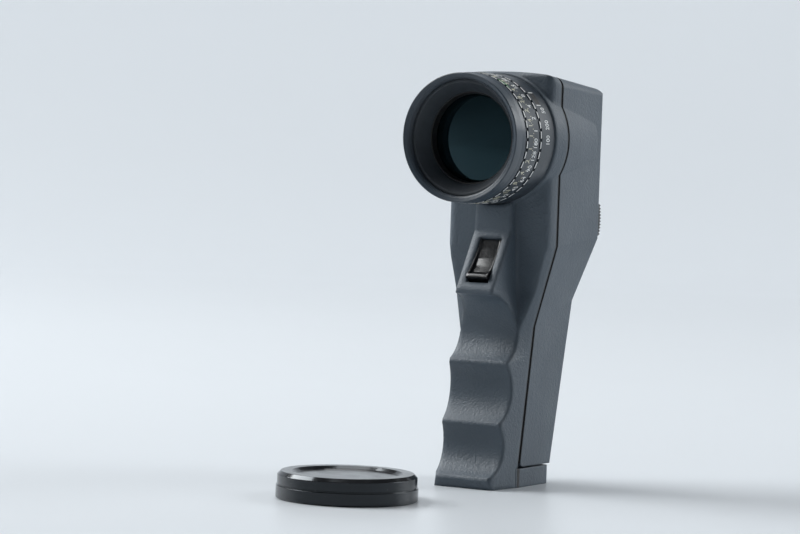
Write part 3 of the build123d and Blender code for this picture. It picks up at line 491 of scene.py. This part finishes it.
def grid_faces(rows, columns, wrap_rows=True, wrap_columns=True):
    """Quads of a grid of rows x columns vertices, closed in one or both directions."""
    row = np.arange(rows if wrap_rows else rows - 1)
    column = np.arange(columns if wrap_columns else columns - 1)
    r, c = np.meshgrid(row, column, indexing="ij")
    r2 = (r + 1) % rows
    c2 = (c + 1) % columns
    quads = np.stack([r * columns + c, r2 * columns + c, r2 * columns + c2, r * columns + c2], axis=-1)
    return quads.reshape(-1, 4)


def around(steps):
    """The angles of a full turn's steps, one to a row."""
    return np.linspace(0, FULL_TURN, steps, endpoint=False)[:, None]


def round_barrel(angles, along, radii):
    """Points at angle, distance along Y and radius about the barrel's axis, in metres."""
    angles, along, radii = np.broadcast_arrays(angles, along, radii)
    points = np.stack([radii * np.cos(angles), along, AXIS_HEIGHT + radii * np.sin(angles)], axis=-1)
    return points.reshape(-1, 3) * MM


def lathe(name, outline, finish, body, replaced, steps=AROUND_STEPS):
    """A ring: the closed outline (along Y, radius) carried round the barrel's axis."""
    vertices = round_barrel(around(steps), outline[:, 0], outline[:, 1])
    make_piece(name, vertices, grid_faces(steps, len(outline)), finish, body, replaced=replaced)


def toothed_dial(name, span, ring):
    """A dial: a rounded ring outline carried round the axis, whose outer radius drops into a
    notch between two teeth within the front band, over a short ramp of angle."""
    front, rear = span
    band_end, step = front + TOOTH_BAND, 0.02
    outline = rounded([
        (front, RING_BORE_RADIUS), (front, RING_RADIUS), (band_end, RING_RADIUS),
        (band_end + step, RING_RADIUS), (rear, RING_RADIUS), (rear, RING_BORE_RADIUS)], 0.15)
    steps = TOOTH_COUNT * TOOTH_STEPS
    angles = around(steps)
    off_tooth = np.abs(((angles / FULL_TURN * TOOTH_COUNT) % 1.0) - 0.5)
    notch = np.clip((off_tooth - 0.5 + TOOTH_NOTCH_SHARE / 2) / TOOTH_FLANK_SHARE + 0.5, 0, 1)
    in_band = (outline[:, 0] < band_end + step / 2) & (outline[:, 1] > RING_FLOOR_RADIUS)
    vertices = round_barrel(angles, outline[:, 0], outline[:, 1] - TOOTH_NOTCH_DEPTH * notch * in_band)
    make_piece(name, vertices, grid_faces(steps, len(outline)), "dial", ring, replaced=[ring])


def curved_marks(name, centres, along, length, width, rise, finish, body,
                 radius=RING_RADIUS, steps=6):
    """Raised marks on a ring: for each centre angle a small block, bent round the axis, that
    spans a length round the ring, a width along Y, and from just under the radius to a rise
    over it."""
    low, high = radius - MARK_ROOT, radius + rise
    front, rear = along - width / 2, along + width / 2
    corners = np.array([(front, low), (front, high), (rear, high), (rear, low)])
    reach = length / high / 2
    angles = np.reshape(centres, (-1, 1, 1)) + np.linspace(-reach, reach, steps)[:, None]
    vertices = round_barrel(angles, corners[:, 0], corners[:, 1])
    ends = [[0, 1, 2, 3], [4 * steps - 1, 4 * steps - 2, 4 * steps - 3, 4 * steps - 4]]
    block = np.vstack([grid_faces(steps, 4, wrap_rows=False), ends])
    faces = (block + (np.arange(len(centres)) * steps * 4)[:, None, None]).reshape(-1, 4)
    make_piece(name, vertices, faces, finish, body, smooth=False)


def number_points(text, height, thickness):
    """Vertices and faces of a number, centred, as a thin solid of the given digit height."""
    curve = bpy.data.curves.new("digits", "FONT")
    curve.body = text
    curve.size = 1.0
    curve.align_x = "CENTER"
    curve.align_y = "CENTER"
    curve.resolution_u = 3
    curve.extrude = 0.5
    holder = bpy.data.objects.new("digits", curve)
    bpy.context.scene.collection.objects.link(holder)
    bpy.context.view_layer.update()
    mesh = bpy.data.meshes.new_from_object(holder)
    points = np.empty(len(mesh.vertices) * 3)
    mesh.vertices.foreach_get("co", points)
    points = points.reshape(-1, 3)
    faces = [tuple(face.vertices) for face in mesh.polygons]
    bpy.data.objects.remove(holder)
    bpy.data.curves.remove(curve)
    bpy.data.meshes.remove(mesh)
    tall = points[:, 1].max() - points[:, 1].min()
    points[:, 1] -= (points[:, 1].max() + points[:, 1].min()) / 2
    points[:, :2] *= height / tall
    points[:, 2] = (points[:, 2] + 0.5) * thickness
    return points, faces


def numbers_on_dial(name, labels, along, height, stretch, finish, body):
    """Numbers bent round a dial: the text's width runs round the axis, its height along -Y and
    its thickness along the radius."""
    rise = bpy.context.scene.meter_sizes.mark_rise / MM
    vertices, faces, count = [], [], 0
    for text, angle in labels:
        points, text_faces = number_points(text, height, rise)
        turn = angle + points[:, 0] * stretch / RING_RADIUS
        vertices.append(round_barrel(turn, along - points[:, 1], RING_RADIUS + points[:, 2]))
        faces += [[index + count for index in face] for face in text_faces]
        count += len(points)
    make_piece(name, np.vstack(vertices), faces, finish, body, smooth=False)


# The thumb rest in millimetres: Y of its bed and of the rear face, how far its line stands off
# that face at its ends and how much further in the middle, the heights of its ends, half its
# width, and the depth of the dips between its ribs
REST_BED = 38.0
REST_FACE = 39.3
REST_END_RISE = 0.3
REST_MIDDLE_RISE = 0.79
REST_LOW = 87.3
REST_HIGH = 98.6
REST_HALF_WIDTH = 20.0
REST_DIP = 1.0
REST_RIBS = 10


def build_thumb_rest(steps=10):
    """The ribbed thumb rest, swept across the head from its side view: the outer line lies at
    end rise + middle rise s - dip (1 + cos(rib turn)) / 2 off the rear face, where s is a
    parabola that is 1 in the middle and 0 at both ends."""
    rib = np.linspace(0, REST_RIBS, REST_RIBS * steps + 1)
    share = 1 - (2 * rib / REST_RIBS - 1) ** 2
    outer = REST_FACE + REST_END_RISE + REST_MIDDLE_RISE * share - REST_DIP * (0.5 + 0.5 * np.cos(FULL_TURN * rib))
    level = REST_LOW + (REST_HIGH - REST_LOW) * rib / REST_RIBS
    bed = np.full_like(level, REST_BED)
    outline = np.concatenate([np.column_stack([outer, level]), np.column_stack([bed, level])[::-1]])
    count = len(outline)
    sides = [np.column_stack([np.full(count, x), outline]) for x in (-REST_HALF_WIDTH, REST_HALF_WIDTH)]
    first = np.arange(count // 2 - 1)
    cap = np.stack([first, first + 1, count - 2 - first, count - 1 - first], axis=-1)
    faces = np.concatenate([grid_faces(2, count, wrap_rows=False), cap, cap[:, ::-1] + count])
    make_piece("ribbed_thumb_rest", np.concatenate(sides) * MM, faces, "thumb_rest", "meter",
               replaced=["thumb_rest"])


class METER_OT_housing(bpy.types.Operator):
    """Finishes the housings, the gasket, the battery cover and the strap lug, and builds the thumb rest"""
    bl_idname = "meter.housing"
    bl_label = "Finish housing"

    def execute(self, context):
        finish_nodes(front_housing="front_housing", rear_housing="housing", battery_cover="housing",
                     seam_gasket="gasket", strap_lug="black_steel")
        build_thumb_rest()
        return {"FINISHED"}


# The nose's sloping face in the side view (Y, Z), and the blade's outline measured down that
# slope and in under it: the dished middle, the raised edges and the back. Then the blade's half
# width, the width of a raised edge, and how far in and how deep its outer corner is let down
SLOPE_TOP = np.array([-3.3, 88.0])
SLOPE_DOWN = np.array([-0.52022, -0.85403])
SLOPE_INWARD = np.array([0.85403, -0.52022])
BLADE_STATIONS = [2.45, 6.0, 9.9, 13.2, 15.6, 16.6, 17.3, 18.75]
BLADE_MIDDLE = [1.10, 1.38, 1.50, 1.25, 0.62, 0.05, -1.26, -1.30]
BLADE_EDGES = [0.65, 0.62, 0.50, 0.05, -0.45, -0.85, -1.24, -1.30]
BLADE_BACK = [(18.93, -1.24), (19.0, -1.05), (19.0, 2.3), (9.9, 4.9), (5.2, 5.2), (3.4, 4.2), (2.45, 2.3)]
BLADE_HALF_WIDTH = 4.2
BLADE_EDGE_WIDTH = 0.62
BLADE_CORNER_WIDTH = 0.2
BLADE_CORNER_DROP = 0.16


def build_trigger_blade(columns=61, rows=90, blur=9):
    """The trigger: at each place across its width a closed outline in the side view, whose face
    runs from the dished middle to the raised edges on a smooth step, with the face's kinks
    averaged over about a millimetre and its outer corners let down by a quarter circle."""
    across_width = np.linspace(-BLADE_HALF_WIDTH, BLADE_HALF_WIDTH, columns)
    down = np.linspace(BLADE_STATIONS[0], BLADE_STATIONS[-1], rows)
    kernel = np.hanning(blur) / np.hanning(blur).sum()
    middle, edges = (
        np.convolve(np.pad(np.interp(down, BLADE_STATIONS, depths), blur // 2, mode="edge"), kernel, mode="valid")
        for depths in (BLADE_MIDDLE, BLADE_EDGES))
    from_edge = BLADE_HALF_WIDTH - np.abs(across_width)
    rise = np.clip((from_edge - BLADE_EDGE_WIDTH * 0.6) / BLADE_EDGE_WIDTH, 0, 1)
    rise = rise ** 2 * (3 - 2 * rise)
    corner = 1 - np.sqrt(1 - np.clip(1 - from_edge / BLADE_CORNER_WIDTH, 0, 1) ** 2)
    depth = edges + (middle - edges) * rise[:, None] + BLADE_CORNER_DROP * corner[:, None]
    back = np.broadcast_to(np.array(BLADE_BACK), (columns, len(BLADE_BACK), 2))
    along = np.concatenate([np.broadcast_to(down, depth.shape), back[..., 0]], axis=1)
    inward = np.concatenate([depth, back[..., 1]], axis=1)
    side = SLOPE_TOP + along[..., None] * SLOPE_DOWN + inward[..., None] * SLOPE_INWARD
    width = np.broadcast_to(across_width[:, None, None], side[..., :1].shape)
    vertices = np.concatenate([width, side], axis=-1).reshape(-1, 3) * MM
    count = along.shape[1]
    ends = [range(count), range((columns - 1) * count, columns * count)]
    make_piece("trigger_blade", vertices, [*grid_faces(columns, count, wrap_rows=False), *ends],
               "trigger", "trigger", replaced=["trigger"])


class METER_OT_trigger(bpy.types.Operator):
    """Builds the trigger's blade, and finishes its pin, spring and switch"""
    bl_idname = "meter.trigger"
    bl_label = "Build trigger"

    def execute(self, context):
        build_trigger_blade()
        finish_nodes(trigger_pin="steel", trigger_spring="steel", trigger_switch="inner_plastic")
        return {"FINISHED"}


class METER_OT_inside(bpy.types.Operator):
    """Finishes the sealed inner pieces"""
    bl_idname = "meter.inside"
    bl_label = "Finish inner pieces"

    def execute(self, context):
        finish_nodes(
            battery="cell_wrap", battery_tube="inner_plastic", battery_spring="plated",
            battery_contact="plated", barrel_nut="steel", ring_washer="deep_black",
            rear_lens="clear", lens_spacer="deep_black", optics_block="inner_plastic",
            beam_splitter="clear", light_sensor="sensor", focusing_screen="clear",
            number_display="display", circuit_board="board", lens_barrel="flat_black")
        return {"FINISHED"}


class METER_OT_front_ring(bpy.types.Operator):
    """Builds the rim ring, its thread, the dark cone, the clamp ring and the front lens"""
    bl_idname = "meter.front_ring"
    bl_label = "Build front ring"

    def execute(self, context):
        groove_rear = SCALE_RING_SPAN[0] - 0.15
        rim = rounded([
            (RIM_Y + 0.6, RIM_INNER_RADIUS), (RIM_Y + 0.42, RIM_INNER_RADIUS + 0.1),
            (RIM_Y + 0.42, RIM_INNER_RADIUS + 0.3), (RIM_Y, RIM_RADIUS - 0.3),
            (RIM_Y + 0.25, RIM_RADIUS), (RIM_Y + 4.4, RIM_RADIUS), (BEZEL_REAR_Y, RING_RADIUS),
            (BEZEL_REAR_Y, RING_FLOOR_RADIUS), (groove_rear, RING_FLOOR_RADIUS), (groove_rear, BARREL_RADIUS),
            (SLEEVE_FRONT_Y, BARREL_RADIUS), (SLEEVE_FRONT_Y, BORE_RADIUS), (THREAD_START_Y, BORE_RADIUS)], 0.06)
        cone = rounded([
            (SLEEVE_FRONT_Y, CONE_BODY_RADIUS - 0.15), (SLEEVE_FRONT_Y, CONE_LIP_RADIUS),
            (CONE_LIP_Y, CONE_LIP_RADIUS), (CONE_LIP_Y, CONE_BODY_RADIUS),
            (CONE_REAR_Y, CONE_BODY_RADIUS), (CONE_REAR_Y, LENS_RADIUS - 0.7)], 0.08)
        clamp = rounded([
            (CONE_REAR_Y, LENS_RADIUS - 1.0), (CONE_REAR_Y, LENS_RADIUS), (LENS_EDGE_Y - 0.05, LENS_RADIUS),
            (LENS_EDGE_Y - 0.4, LENS_RADIUS - 1.4), (LENS_EDGE_Y - 0.9, LENS_RADIUS - 1.4)], 0.08)
        lathe("rim_ring", rim, "enamel", "meter", ["front_bezel"])
        build_thread(context.scene.meter_sizes.thread_pitch / MM)
        lathe("dark_cone", cone, "flat_black", "meter", ["front_sleeve"])
        lathe("lens_clamp", clamp, "deep_black", "meter", ["lens_retaining_ring"])
        build_lens("objective_glass", edge_y=LENS_EDGE_Y, thickness=3.6, radius=LENS_RADIUS, rises=(-1.9, -0.8),
                   finish="coated", body="meter", node="front_lens")
        return {"FINISHED"}


def build_thread(pitch, steps_a_turn=144):
    """Filter thread: a small triangle, nine tenths of the pitch wide, carried along a helix
    inside the rim and thinned to a twentieth over a thirtieth of its length at both ends."""
    turns = THREAD_LENGTH / pitch
    steps = int(turns * steps_a_turn)
    t = np.linspace(0, 1, steps)[:, None]
    depth = THREAD_DEPTH * np.clip(np.minimum(t, 1 - t) * 30, 0.05, 1)
    across, inward = np.array([(-0.45, 0.0), (0.0, 1.0), (0.45, 0.0)]).T
    along = THREAD_START_Y + t * THREAD_LENGTH + across * pitch
    vertices = round_barrel(t * turns * FULL_TURN, along, BORE_RADIUS + THREAD_SINK - inward * depth)
    last = 3 * (steps - 1)
    faces = [*grid_faces(steps, 3, wrap_rows=False), (0, 1, 2), (last + 2, last + 1, last)]
    make_piece("filter_thread", vertices, faces, "enamel", "meter")


def build_lens(name, edge_y, thickness, radius, rises, finish, body, node, rings=28, steps=144):
    """A lens: front and rear faces whose distance along Y is a rise times one minus the squared
    share of the radius, joined by a short edge and closed by triangles round each pole."""
    share = np.linspace(0, 1, rings)[1:]
    poles = edge_y + rises[0], edge_y + thickness + rises[1]
    front, rear = (np.column_stack([y + rise * (1 - share ** 2), share * radius])
                   for y, rise in zip((edge_y, edge_y + thickness), rises))
    outline = np.vstack([front, rear[::-1]])
    width, count = len(outline), len(outline) * steps
    vertices = np.vstack([round_barrel(around(steps), outline[:, 0], outline[:, 1]),
                          round_barrel(0.0, np.array(poles), 0.0)])
    here = np.arange(steps) * width
    after = np.roll(here, -1)
    front_fan = np.stack([np.full(steps, count), after, here], axis=-1)
    rear_fan = np.stack([np.full(steps, count + 1), here + width - 1, after + width - 1], axis=-1)
    make_piece(name, vertices, [*grid_faces(steps, width, wrap_columns=False), *front_fan, *rear_fan],
               finish, body, replaced=[node])


class METER_OT_dials(bpy.types.Operator):
    """Builds the two toothed dials with their dashes and numbers, and the painted shade of the speed dial's window
    """
    bl_idname = "meter.dials"
    bl_label = "Build dials"

    def execute(self, context):
        sizes = context.scene.meter_sizes
        rise = sizes.mark_rise / MM
        toothed_dial("scale_dial", SCALE_RING_SPAN, "scale_ring")
        toothed_dial("speed_dial", SPEED_RING_SPAN, "film_speed_ring")
        teeth = (np.arange(TOOTH_COUNT) + 0.5) * FULL_TURN / TOOTH_COUNT
        for name, span, body in (("scale_dashes", SCALE_RING_SPAN, "scale_ring"),
                                 ("speed_dashes", SPEED_RING_SPAN, "film_speed_ring")):
            curved_marks(name, teeth, span[0] + 0.42, length=sizes.dash_length / MM,
                         width=sizes.dash_width / MM, rise=rise, finish="white", body=body)
        self.scale_marks(sizes.scale_number_height / MM, rise)
        self.speed_marks(sizes.speed_number_height / MM, rise)
        return {"FINISHED"}

    def scale_marks(self, height, rise, tick_count=96, stretch=0.74):
        """Two rows of numbers with short ticks between them and a green band on the scale dial."""
        front = SCALE_RING_SPAN[0]
        stops = ["1", "1.4", "2", "2.8", "4", "5.6", "8", "11", "16", "22", "32", "45", "64", "90", "128", "180"]
        times = ["1", "2", "4", "8", "15", "30", "60", "125", "250", "500", "1000", "8", "15", "30", "60", "4"]
        step = FULL_TURN / (2 * len(stops))
        front_row = [(text, (k + 0.3) * step) for k, text in enumerate(stops + times[::-1])]
        rear_row = [(text, (k + 0.7) * step) for k, text in enumerate(times + stops)]
        numbers_on_dial("scale_numbers_front", front_row, front + 3.0, height, stretch, "cream", "scale_ring")
        numbers_on_dial("scale_numbers_rear", rear_row, front + 6.45, height, stretch, "white", "scale_ring")
        ticks = (np.arange(tick_count) + 0.5) * FULL_TURN / tick_count
        curved_marks("scale_ticks", ticks, front + 4.72, length=0.25, width=0.5, rise=rise,
                     finish="cream", body="scale_ring", steps=2)
        curved_marks("scale_band", [math.radians(58)], front + 1.6, length=5.4, width=0.75, rise=rise,
                     finish="green", body="scale_ring", steps=12)

    def speed_marks(self, height, rise, stretch=0.66):
        """Larger numbers on the film speed dial, and between two end lines a black patch of painted shade that
        stands for the shaded inside of the window cut in the dial.
        """
        speeds = {"50": 27, "200": 13.5, "100": 0, "400": 110, "800": 130, "1600": 150, "3200": 171,
                  "6400": 192, "25": 214, "12": 234, "6": 252}
        labels = [(text, math.radians(degrees)) for text, degrees in speeds.items()]
        front = SPEED_RING_SPAN[0]
        numbers_on_dial("speed_numbers", labels, front + 5.4, height, stretch, "white", "film_speed_ring")
        window, along, length, width = math.radians(39), front + 4.0, 5.4, 3.0
        # The window cut in the dial is drawn as a thin black patch: painted shade that stands for its shaded inside
        curved_marks("speed_window", [window], along, length=length, width=width, rise=0.02,
                     finish="black", body="film_speed_ring", steps=12)
        reach = length / 2 / RING_RADIUS
        curved_marks("window_end_lines", [window - reach, window + reach], along, length=0.3, width=width,
                     rise=rise, finish="white", body="film_speed_ring", steps=2)


class METER_OT_index_marks(bpy.types.Operator):
    """Builds the fixed index dot on the rim ring"""
    bl_idname = "meter.index_marks"
    bl_label = "Build index marks"

    def execute(self, context):
        curved_marks("index_dot", [math.radians(29)], RIM_Y + 1.1, length=0.55, width=0.5, rise=0.03,
                     finish="black", body="meter", radius=RIM_RADIUS, steps=4)
        return {"FINISHED"}


# The rubber eyecup in millimetres: places along Y from its front to its rear, the length that
# its ribs take up, their count and depth, and its radii
CUP_FRONT_Y = 46.15
CUP_WALL_Y = 47.9
CUP_REAR_Y = 50.9
CUP_RIBBED_LENGTH = 4.3
CUP_RIBS = 5
CUP_RIB_DEPTH = 0.26
CUP_RADIUS = 10.4
CUP_RIM_RADIUS = 11.6
CUP_HOLE_RADIUS = 6.8
CUP_BORE_RADIUS = 9.0


class METER_OT_eyepiece(bpy.types.Operator):
    """Finishes the eyepiece's tube, ring and cell, and builds its lens and the ribbed eyecup"""
    bl_idname = "meter.eyepiece"
    bl_label = "Build eyepiece"

    def execute(self, context):
        finish_nodes(eyepiece_tube="enamel", diopter_ring="enamel", eyepiece_cell="flat_black")
        build_lens("eyepiece_glass", edge_y=38.6, thickness=1.8, radius=6.4, rises=(0.4, 0.8), finish="clear",
                   body="eyepiece_cell", node="eyepiece_lens", rings=14, steps=72)
        share = np.linspace(0, 1, 57)
        flare = np.interp(share, [0, 0.5, 1], [CUP_RADIUS, CUP_RADIUS, CUP_RIM_RADIUS])
        dips = CUP_RIB_DEPTH * (0.5 - 0.5 * np.cos(share * FULL_TURN * CUP_RIBS))
        outside = np.column_stack([CUP_FRONT_Y + CUP_RIBBED_LENGTH * share, flare - dips])
        lip = rounded([
            (CUP_REAR_Y, CUP_RIM_RADIUS - 0.1), (CUP_REAR_Y, CUP_HOLE_RADIUS + 0.3), (CUP_WALL_Y, CUP_HOLE_RADIUS),
            (CUP_WALL_Y, CUP_BORE_RADIUS), (CUP_FRONT_Y, CUP_BORE_RADIUS)], 0.25)
        lathe("ribbed_eyecup", np.vstack([outside, lip]), "rubber", "meter",
              ["eyecup"], steps=160)
        return {"FINISHED"}


# The four screws: their X and height, Y of the head's rim, of its seat and of the shank's end,
# their radii, the head's dome, and its cross: a bar's half width and half length, the widths
# over which its walls and ends slope, and its depth
SCREW_PLACES = [(-16.3, 104.5), (16.3, 104.5), (-16.3, 131.2), (16.3, 131.2)]
SCREW_RIM_Y = 39.08
SCREW_SEAT_Y = 38.0
SCREW_SHANK_END_Y = 31.0
SCREW_HEAD_RADIUS = 1.9
SCREW_SHANK_RADIUS = 1.0
SCREW_DOME = 0.1
CROSS_HALF_WIDTH = 0.30
CROSS_HALF_LENGTH = 1.15
CROSS_WALL_SLOPE = 0.08
CROSS_END_SLOPE = 0.12
CROSS_DEPTH = 0.55


def screw_surface(rings=25, steps=96):
    """One screw about the Y axis: X, Y and Z for each angle and each place on its outline, from
    the middle of its domed head down the shank to a short point. The head is let down inside a
    cross of two bars, on slopes at their sides and ends."""
    share = np.linspace(0, 1, rings)
    radii = np.concatenate([share * SCREW_HEAD_RADIUS, [
        SCREW_HEAD_RADIUS, SCREW_SHANK_RADIUS, SCREW_SHANK_RADIUS, SCREW_SHANK_RADIUS / 2, 0.0]])
    along = np.concatenate([SCREW_RIM_Y + SCREW_DOME * (1 - share ** 2), [
        SCREW_SEAT_Y, SCREW_SEAT_Y, SCREW_SHANK_END_Y, SCREW_SHANK_END_Y - 0.8, SCREW_SHANK_END_Y - 0.9]])
    angles = around(steps)
    x, z = radii * np.cos(angles), radii * np.sin(angles)
    across, out = np.minimum(np.abs(x), np.abs(z)), np.maximum(np.abs(x), np.abs(z))
    in_bar = (np.clip((CROSS_HALF_WIDTH - across) / CROSS_WALL_SLOPE, 0, 1)
              * np.clip((CROSS_HALF_LENGTH - out) / CROSS_END_SLOPE, 0, 1))
    on_head = np.arange(len(radii)) < rings - 1
    return np.stack([x, along - CROSS_DEPTH * in_bar * on_head, z], axis=-1)


class METER_OT_screws(bpy.types.Operator):
    """Builds the four housing screws with their cross recesses"""
    bl_idname = "meter.screws"
    bl_label = "Build screws"

    def execute(self, context):
        one = screw_surface()
        steps, width = one.shape[:2]
        places = np.array([(x, 0, z) for x, z in SCREW_PLACES])
        vertices = (one.reshape(-1, 3) + places[:, None]).reshape(-1, 3) * MM
        shell = grid_faces(steps, width, wrap_columns=False)
        faces = (shell + (np.arange(len(places)) * steps * width)[:, None, None]).reshape(-1, 4)
        make_piece("cross_screws", vertices, faces, "black_steel", "meter",
                   replaced=["housing_screws"])
        return {"FINISHED"}


class METER_OT_cap(bpy.types.Operator):
    """Finishes the lens cap"""
    bl_idname = "meter.cap"
    bl_label = "Finish cap"

    def execute(self, context):
        finish_nodes(lens_cap="cap")
        return {"FINISHED"}


# Camera place and turn that fit the photograph: millimetres and degrees
CAMERA_PLACE = (492.7, -921.0, 115.6)
CAMERA_AZIMUTH = 29.98
CAMERA_DOWN = 2.247
CAMERA_ROLL = 1.973
CAMERA_LENS = 135.0
SENSOR_WIDTH = 36.0


def aim_camera():
    """The camera at the photograph's viewpoint, with its picture plane turned by the roll."""
    turn, down, roll = (math.radians(v) for v in (CAMERA_AZIMUTH, CAMERA_DOWN, CAMERA_ROLL))
    forward = Vector((-math.sin(turn) * math.cos(down), math.cos(turn) * math.cos(down), -math.sin(down)))
    level = Vector((math.cos(turn), math.sin(turn), 0))
    upright = level.cross(forward)
    right = math.cos(roll) * level + math.sin(roll) * upright
    up = -math.sin(roll) * level + math.cos(roll) * upright
    data = bpy.data.cameras.new("view_camera")
    data.lens = CAMERA_LENS
    data.sensor_width = SENSOR_WIDTH
    data.clip_start = 0.05
    data.clip_end = 50.0
    camera = bpy.data.objects.new("view_camera", data)
    matrix = Matrix((right, up, -forward)).transposed().to_4x4()
    matrix.translation = Vector(CAMERA_PLACE) * MM
    camera.matrix_world = matrix
    bpy.context.scene.collection.objects.link(camera)
    bpy.context.scene.camera = camera


# The softboxes: bearing round the meter and elevation in degrees, distance and side in metres,
# and colour
SOFTBOXES = {
    "right": (136, 28, 2.2, 1.1, (0.97, 0.99, 1.0)),
    "left": (-80, 40, 2.0, 1.25, (0.97, 0.99, 1.0)),
    "top": (-140, 76, 1.6, 1.0, (1.0, 1.0, 1.0)),
}
SOFTBOX_TARGET = (0.0, 0.0, 0.08)

# The light from all round: its colour, the share of it that comes from the front, and the Y of
# a direction where it starts to grow and where it is full
ROOM_COLOUR = (0.87, 0.92, 0.97, 1.0)
ROOM_FRONT_SHARE = 0.12
ROOM_GROWTH = (-0.7, 0.35)


def softbox(name, power, azimuth, elevation, distance, side, colour):
    """A square area light at a bearing round the meter, aimed at its head."""
    turn, lift = math.radians(azimuth), math.radians(elevation)
    way = Vector((math.sin(turn) * math.cos(lift), -math.cos(turn) * math.cos(lift), math.sin(lift)))
    data = bpy.data.lights.new(name, "AREA")
    data.energy = power
    data.size = side
    data.color = colour
    light = bpy.data.objects.new(name, data)
    light.location = Vector(SOFTBOX_TARGET) + way * distance
    light.rotation_euler = (-way).to_track_quat("-Z", "Y").to_euler()
    bpy.context.scene.collection.objects.link(light)


# The floor in metres: the radius of its small middle face, of its flat part and of its edge,
# and the rise of its wall per squared metre past the flat part. Then its glow's colour, and the
# distances and the places along Y over which the glow grows
FLOOR_MIDDLE = 0.05
FLOOR_FLAT = 1.6
FLOOR_EDGE = 3.4
FLOOR_BEND = 0.55
GLOW_COLOUR = (0.41, 0.44, 0.47)
GLOW_DISTANCE = (0.5, 3.2)
GLOW_ALONG = (-1.6, 0.6)


class METER_OT_stage(bpy.types.Operator):
    """Builds the pale bowl-shaped floor, the softboxes, the room light and the camera"""
    bl_idname = "meter.stage"
    bl_label = "Build stage"

    def execute(self, context):
        stage = context.scene.meter_stage
        self.build_floor(tuple(stage.floor_shade))
        for side, place in SOFTBOXES.items():
            softbox(f"{side}_box", getattr(stage, f"{side}_power"), *place)
        self.light_room(stage.room_light)
        context.scene.view_settings.view_transform = "Standard"
        aim_camera()
        return {"FINISHED"}

    def light_room(self, strength):
        """Light from all round that is weak in front of the meter and full behind it."""
        world = bpy.data.worlds.new("room")
        world.use_nodes = True
        room = Wiring(world.node_tree)
        way = room.axes(room.add("ShaderNodeTexCoord").outputs["Generated"])
        background = world.node_tree.nodes["Background"].inputs
        room.put(ROOM_COLOUR, background["Color"])
        room.put(room.ramp(way["Y"], *ROOM_GROWTH, ROOM_FRONT_SHARE * strength, strength), background["Strength"])
        bpy.context.scene.world = world

    def build_floor(self, tint, steps=96):
        """A round floor that bends up into a low wall: the height grows with the squared
        distance past the flat part, and the whole is carried round the Z axis."""
        distance = np.concatenate([np.linspace(FLOOR_MIDDLE, FLOOR_FLAT, 6),
                                   np.linspace(FLOOR_FLAT + 0.1, FLOOR_EDGE, 24)])
        height = FLOOR_BEND * np.clip(distance - FLOOR_FLAT, 0, None) ** 2
        angles = around(steps)
        rings = np.broadcast_arrays(distance * np.cos(angles), distance * np.sin(angles), height)
        width = len(distance)
        faces = [*grid_faces(steps, width, wrap_columns=False)[:, ::-1].tolist(), range(0, steps * width, width)]
        mesh = bpy.data.meshes.new("studio_floor")
        mesh.from_pydata(np.stack(rings, axis=-1).reshape(-1, 3).tolist(), [], faces)
        mesh.shade_smooth()
        mesh.materials.append(self.floor_paper(tint).material)
        floor = bpy.data.objects.new("studio_floor", mesh)
        bpy.context.scene.collection.objects.link(floor)

    def floor_paper(self, tint):
        """Pale paper that glows softly far from the meter and behind it, as a lit backdrop does."""
        shade = Shade("floor_paper")
        soft = shade.effect(handling_group(), Scale=1.5)["Mask"]
        reach = shade.add("ShaderNodeVectorMath", {0: shade.place}, operation="LENGTH").outputs["Value"]
        far = shade.ramp(reach, *GLOW_DISTANCE, interpolation_type="SMOOTHSTEP")
        behind = shade.ramp(shade.axes(shade.place)["Y"], *GLOW_ALONG, interpolation_type="SMOOTHSTEP")
        glow = shade.blend(shade.calculate("MULTIPLY", far, behind), (0.0, 0.0, 0.0), GLOW_COLOUR)
        shade.feed(Base_Color=shade.blend(soft, tint, toned(tint, 1.02)), Roughness=0.35,
                   Emission_Color=glow, Emission_Strength=1.0)
        return shade


OPERATORS = (
    METER_OT_housing, METER_OT_trigger, METER_OT_inside, METER_OT_front_ring, METER_OT_dials,
    METER_OT_index_marks, METER_OT_eyepiece, METER_OT_screws, METER_OT_cap, METER_OT_stage,
)


class METER_PT_sidebar(bpy.types.Panel):
    """Lists the steps that build the meter's visible surfaces"""
    bl_idname = "METER_PT_sidebar"
    bl_label = "Spot meter"
    bl_space_type = "VIEW_3D"
    bl_region_type = "UI"
    bl_category = "Spot meter"

    def draw(self, context):
        layout = self.layout
        for group in (context.scene.meter_colours, context.scene.meter_sizes, context.scene.meter_stage):
            for name in group.__annotations__:
                layout.prop(group, name)
        for operator in OPERATORS:
            layout.operator(operator.bl_idname)


GROUPS = {"meter_colours": MeterColours, "meter_sizes": MeterSizes, "meter_stage": StageSettings}


def register():
    """Adds the settings, the steps and the sidebar's panel."""
    for group in GROUPS.values():
        bpy.utils.register_class(group)
    for name, group in GROUPS.items():
        setattr(bpy.types.Scene, name, bpy.props.PointerProperty(type=group))
    for operator in OPERATORS:
        bpy.utils.register_class(operator)
    bpy.utils.register_class(METER_PT_sidebar)


def unregister():
    """Takes them away again."""
    bpy.utils.unregister_class(METER_PT_sidebar)
    for operator in reversed(OPERATORS):
        bpy.utils.unregister_class(operator)
    for name in GROUPS:
        delattr(bpy.types.Scene, name)
    for group in reversed(GROUPS.values()):
        bpy.utils.unregister_class(group)


def main():
    register()
    mix_finishes()
    for operator in OPERATORS:
        step = getattr(bpy.ops.meter, operator.bl_idname.split(".")[1])
        if step() != {"FINISHED"}:
            raise RuntimeError(f"{operator.bl_label} did not finish")


if __name__ == "__main__":
    main()
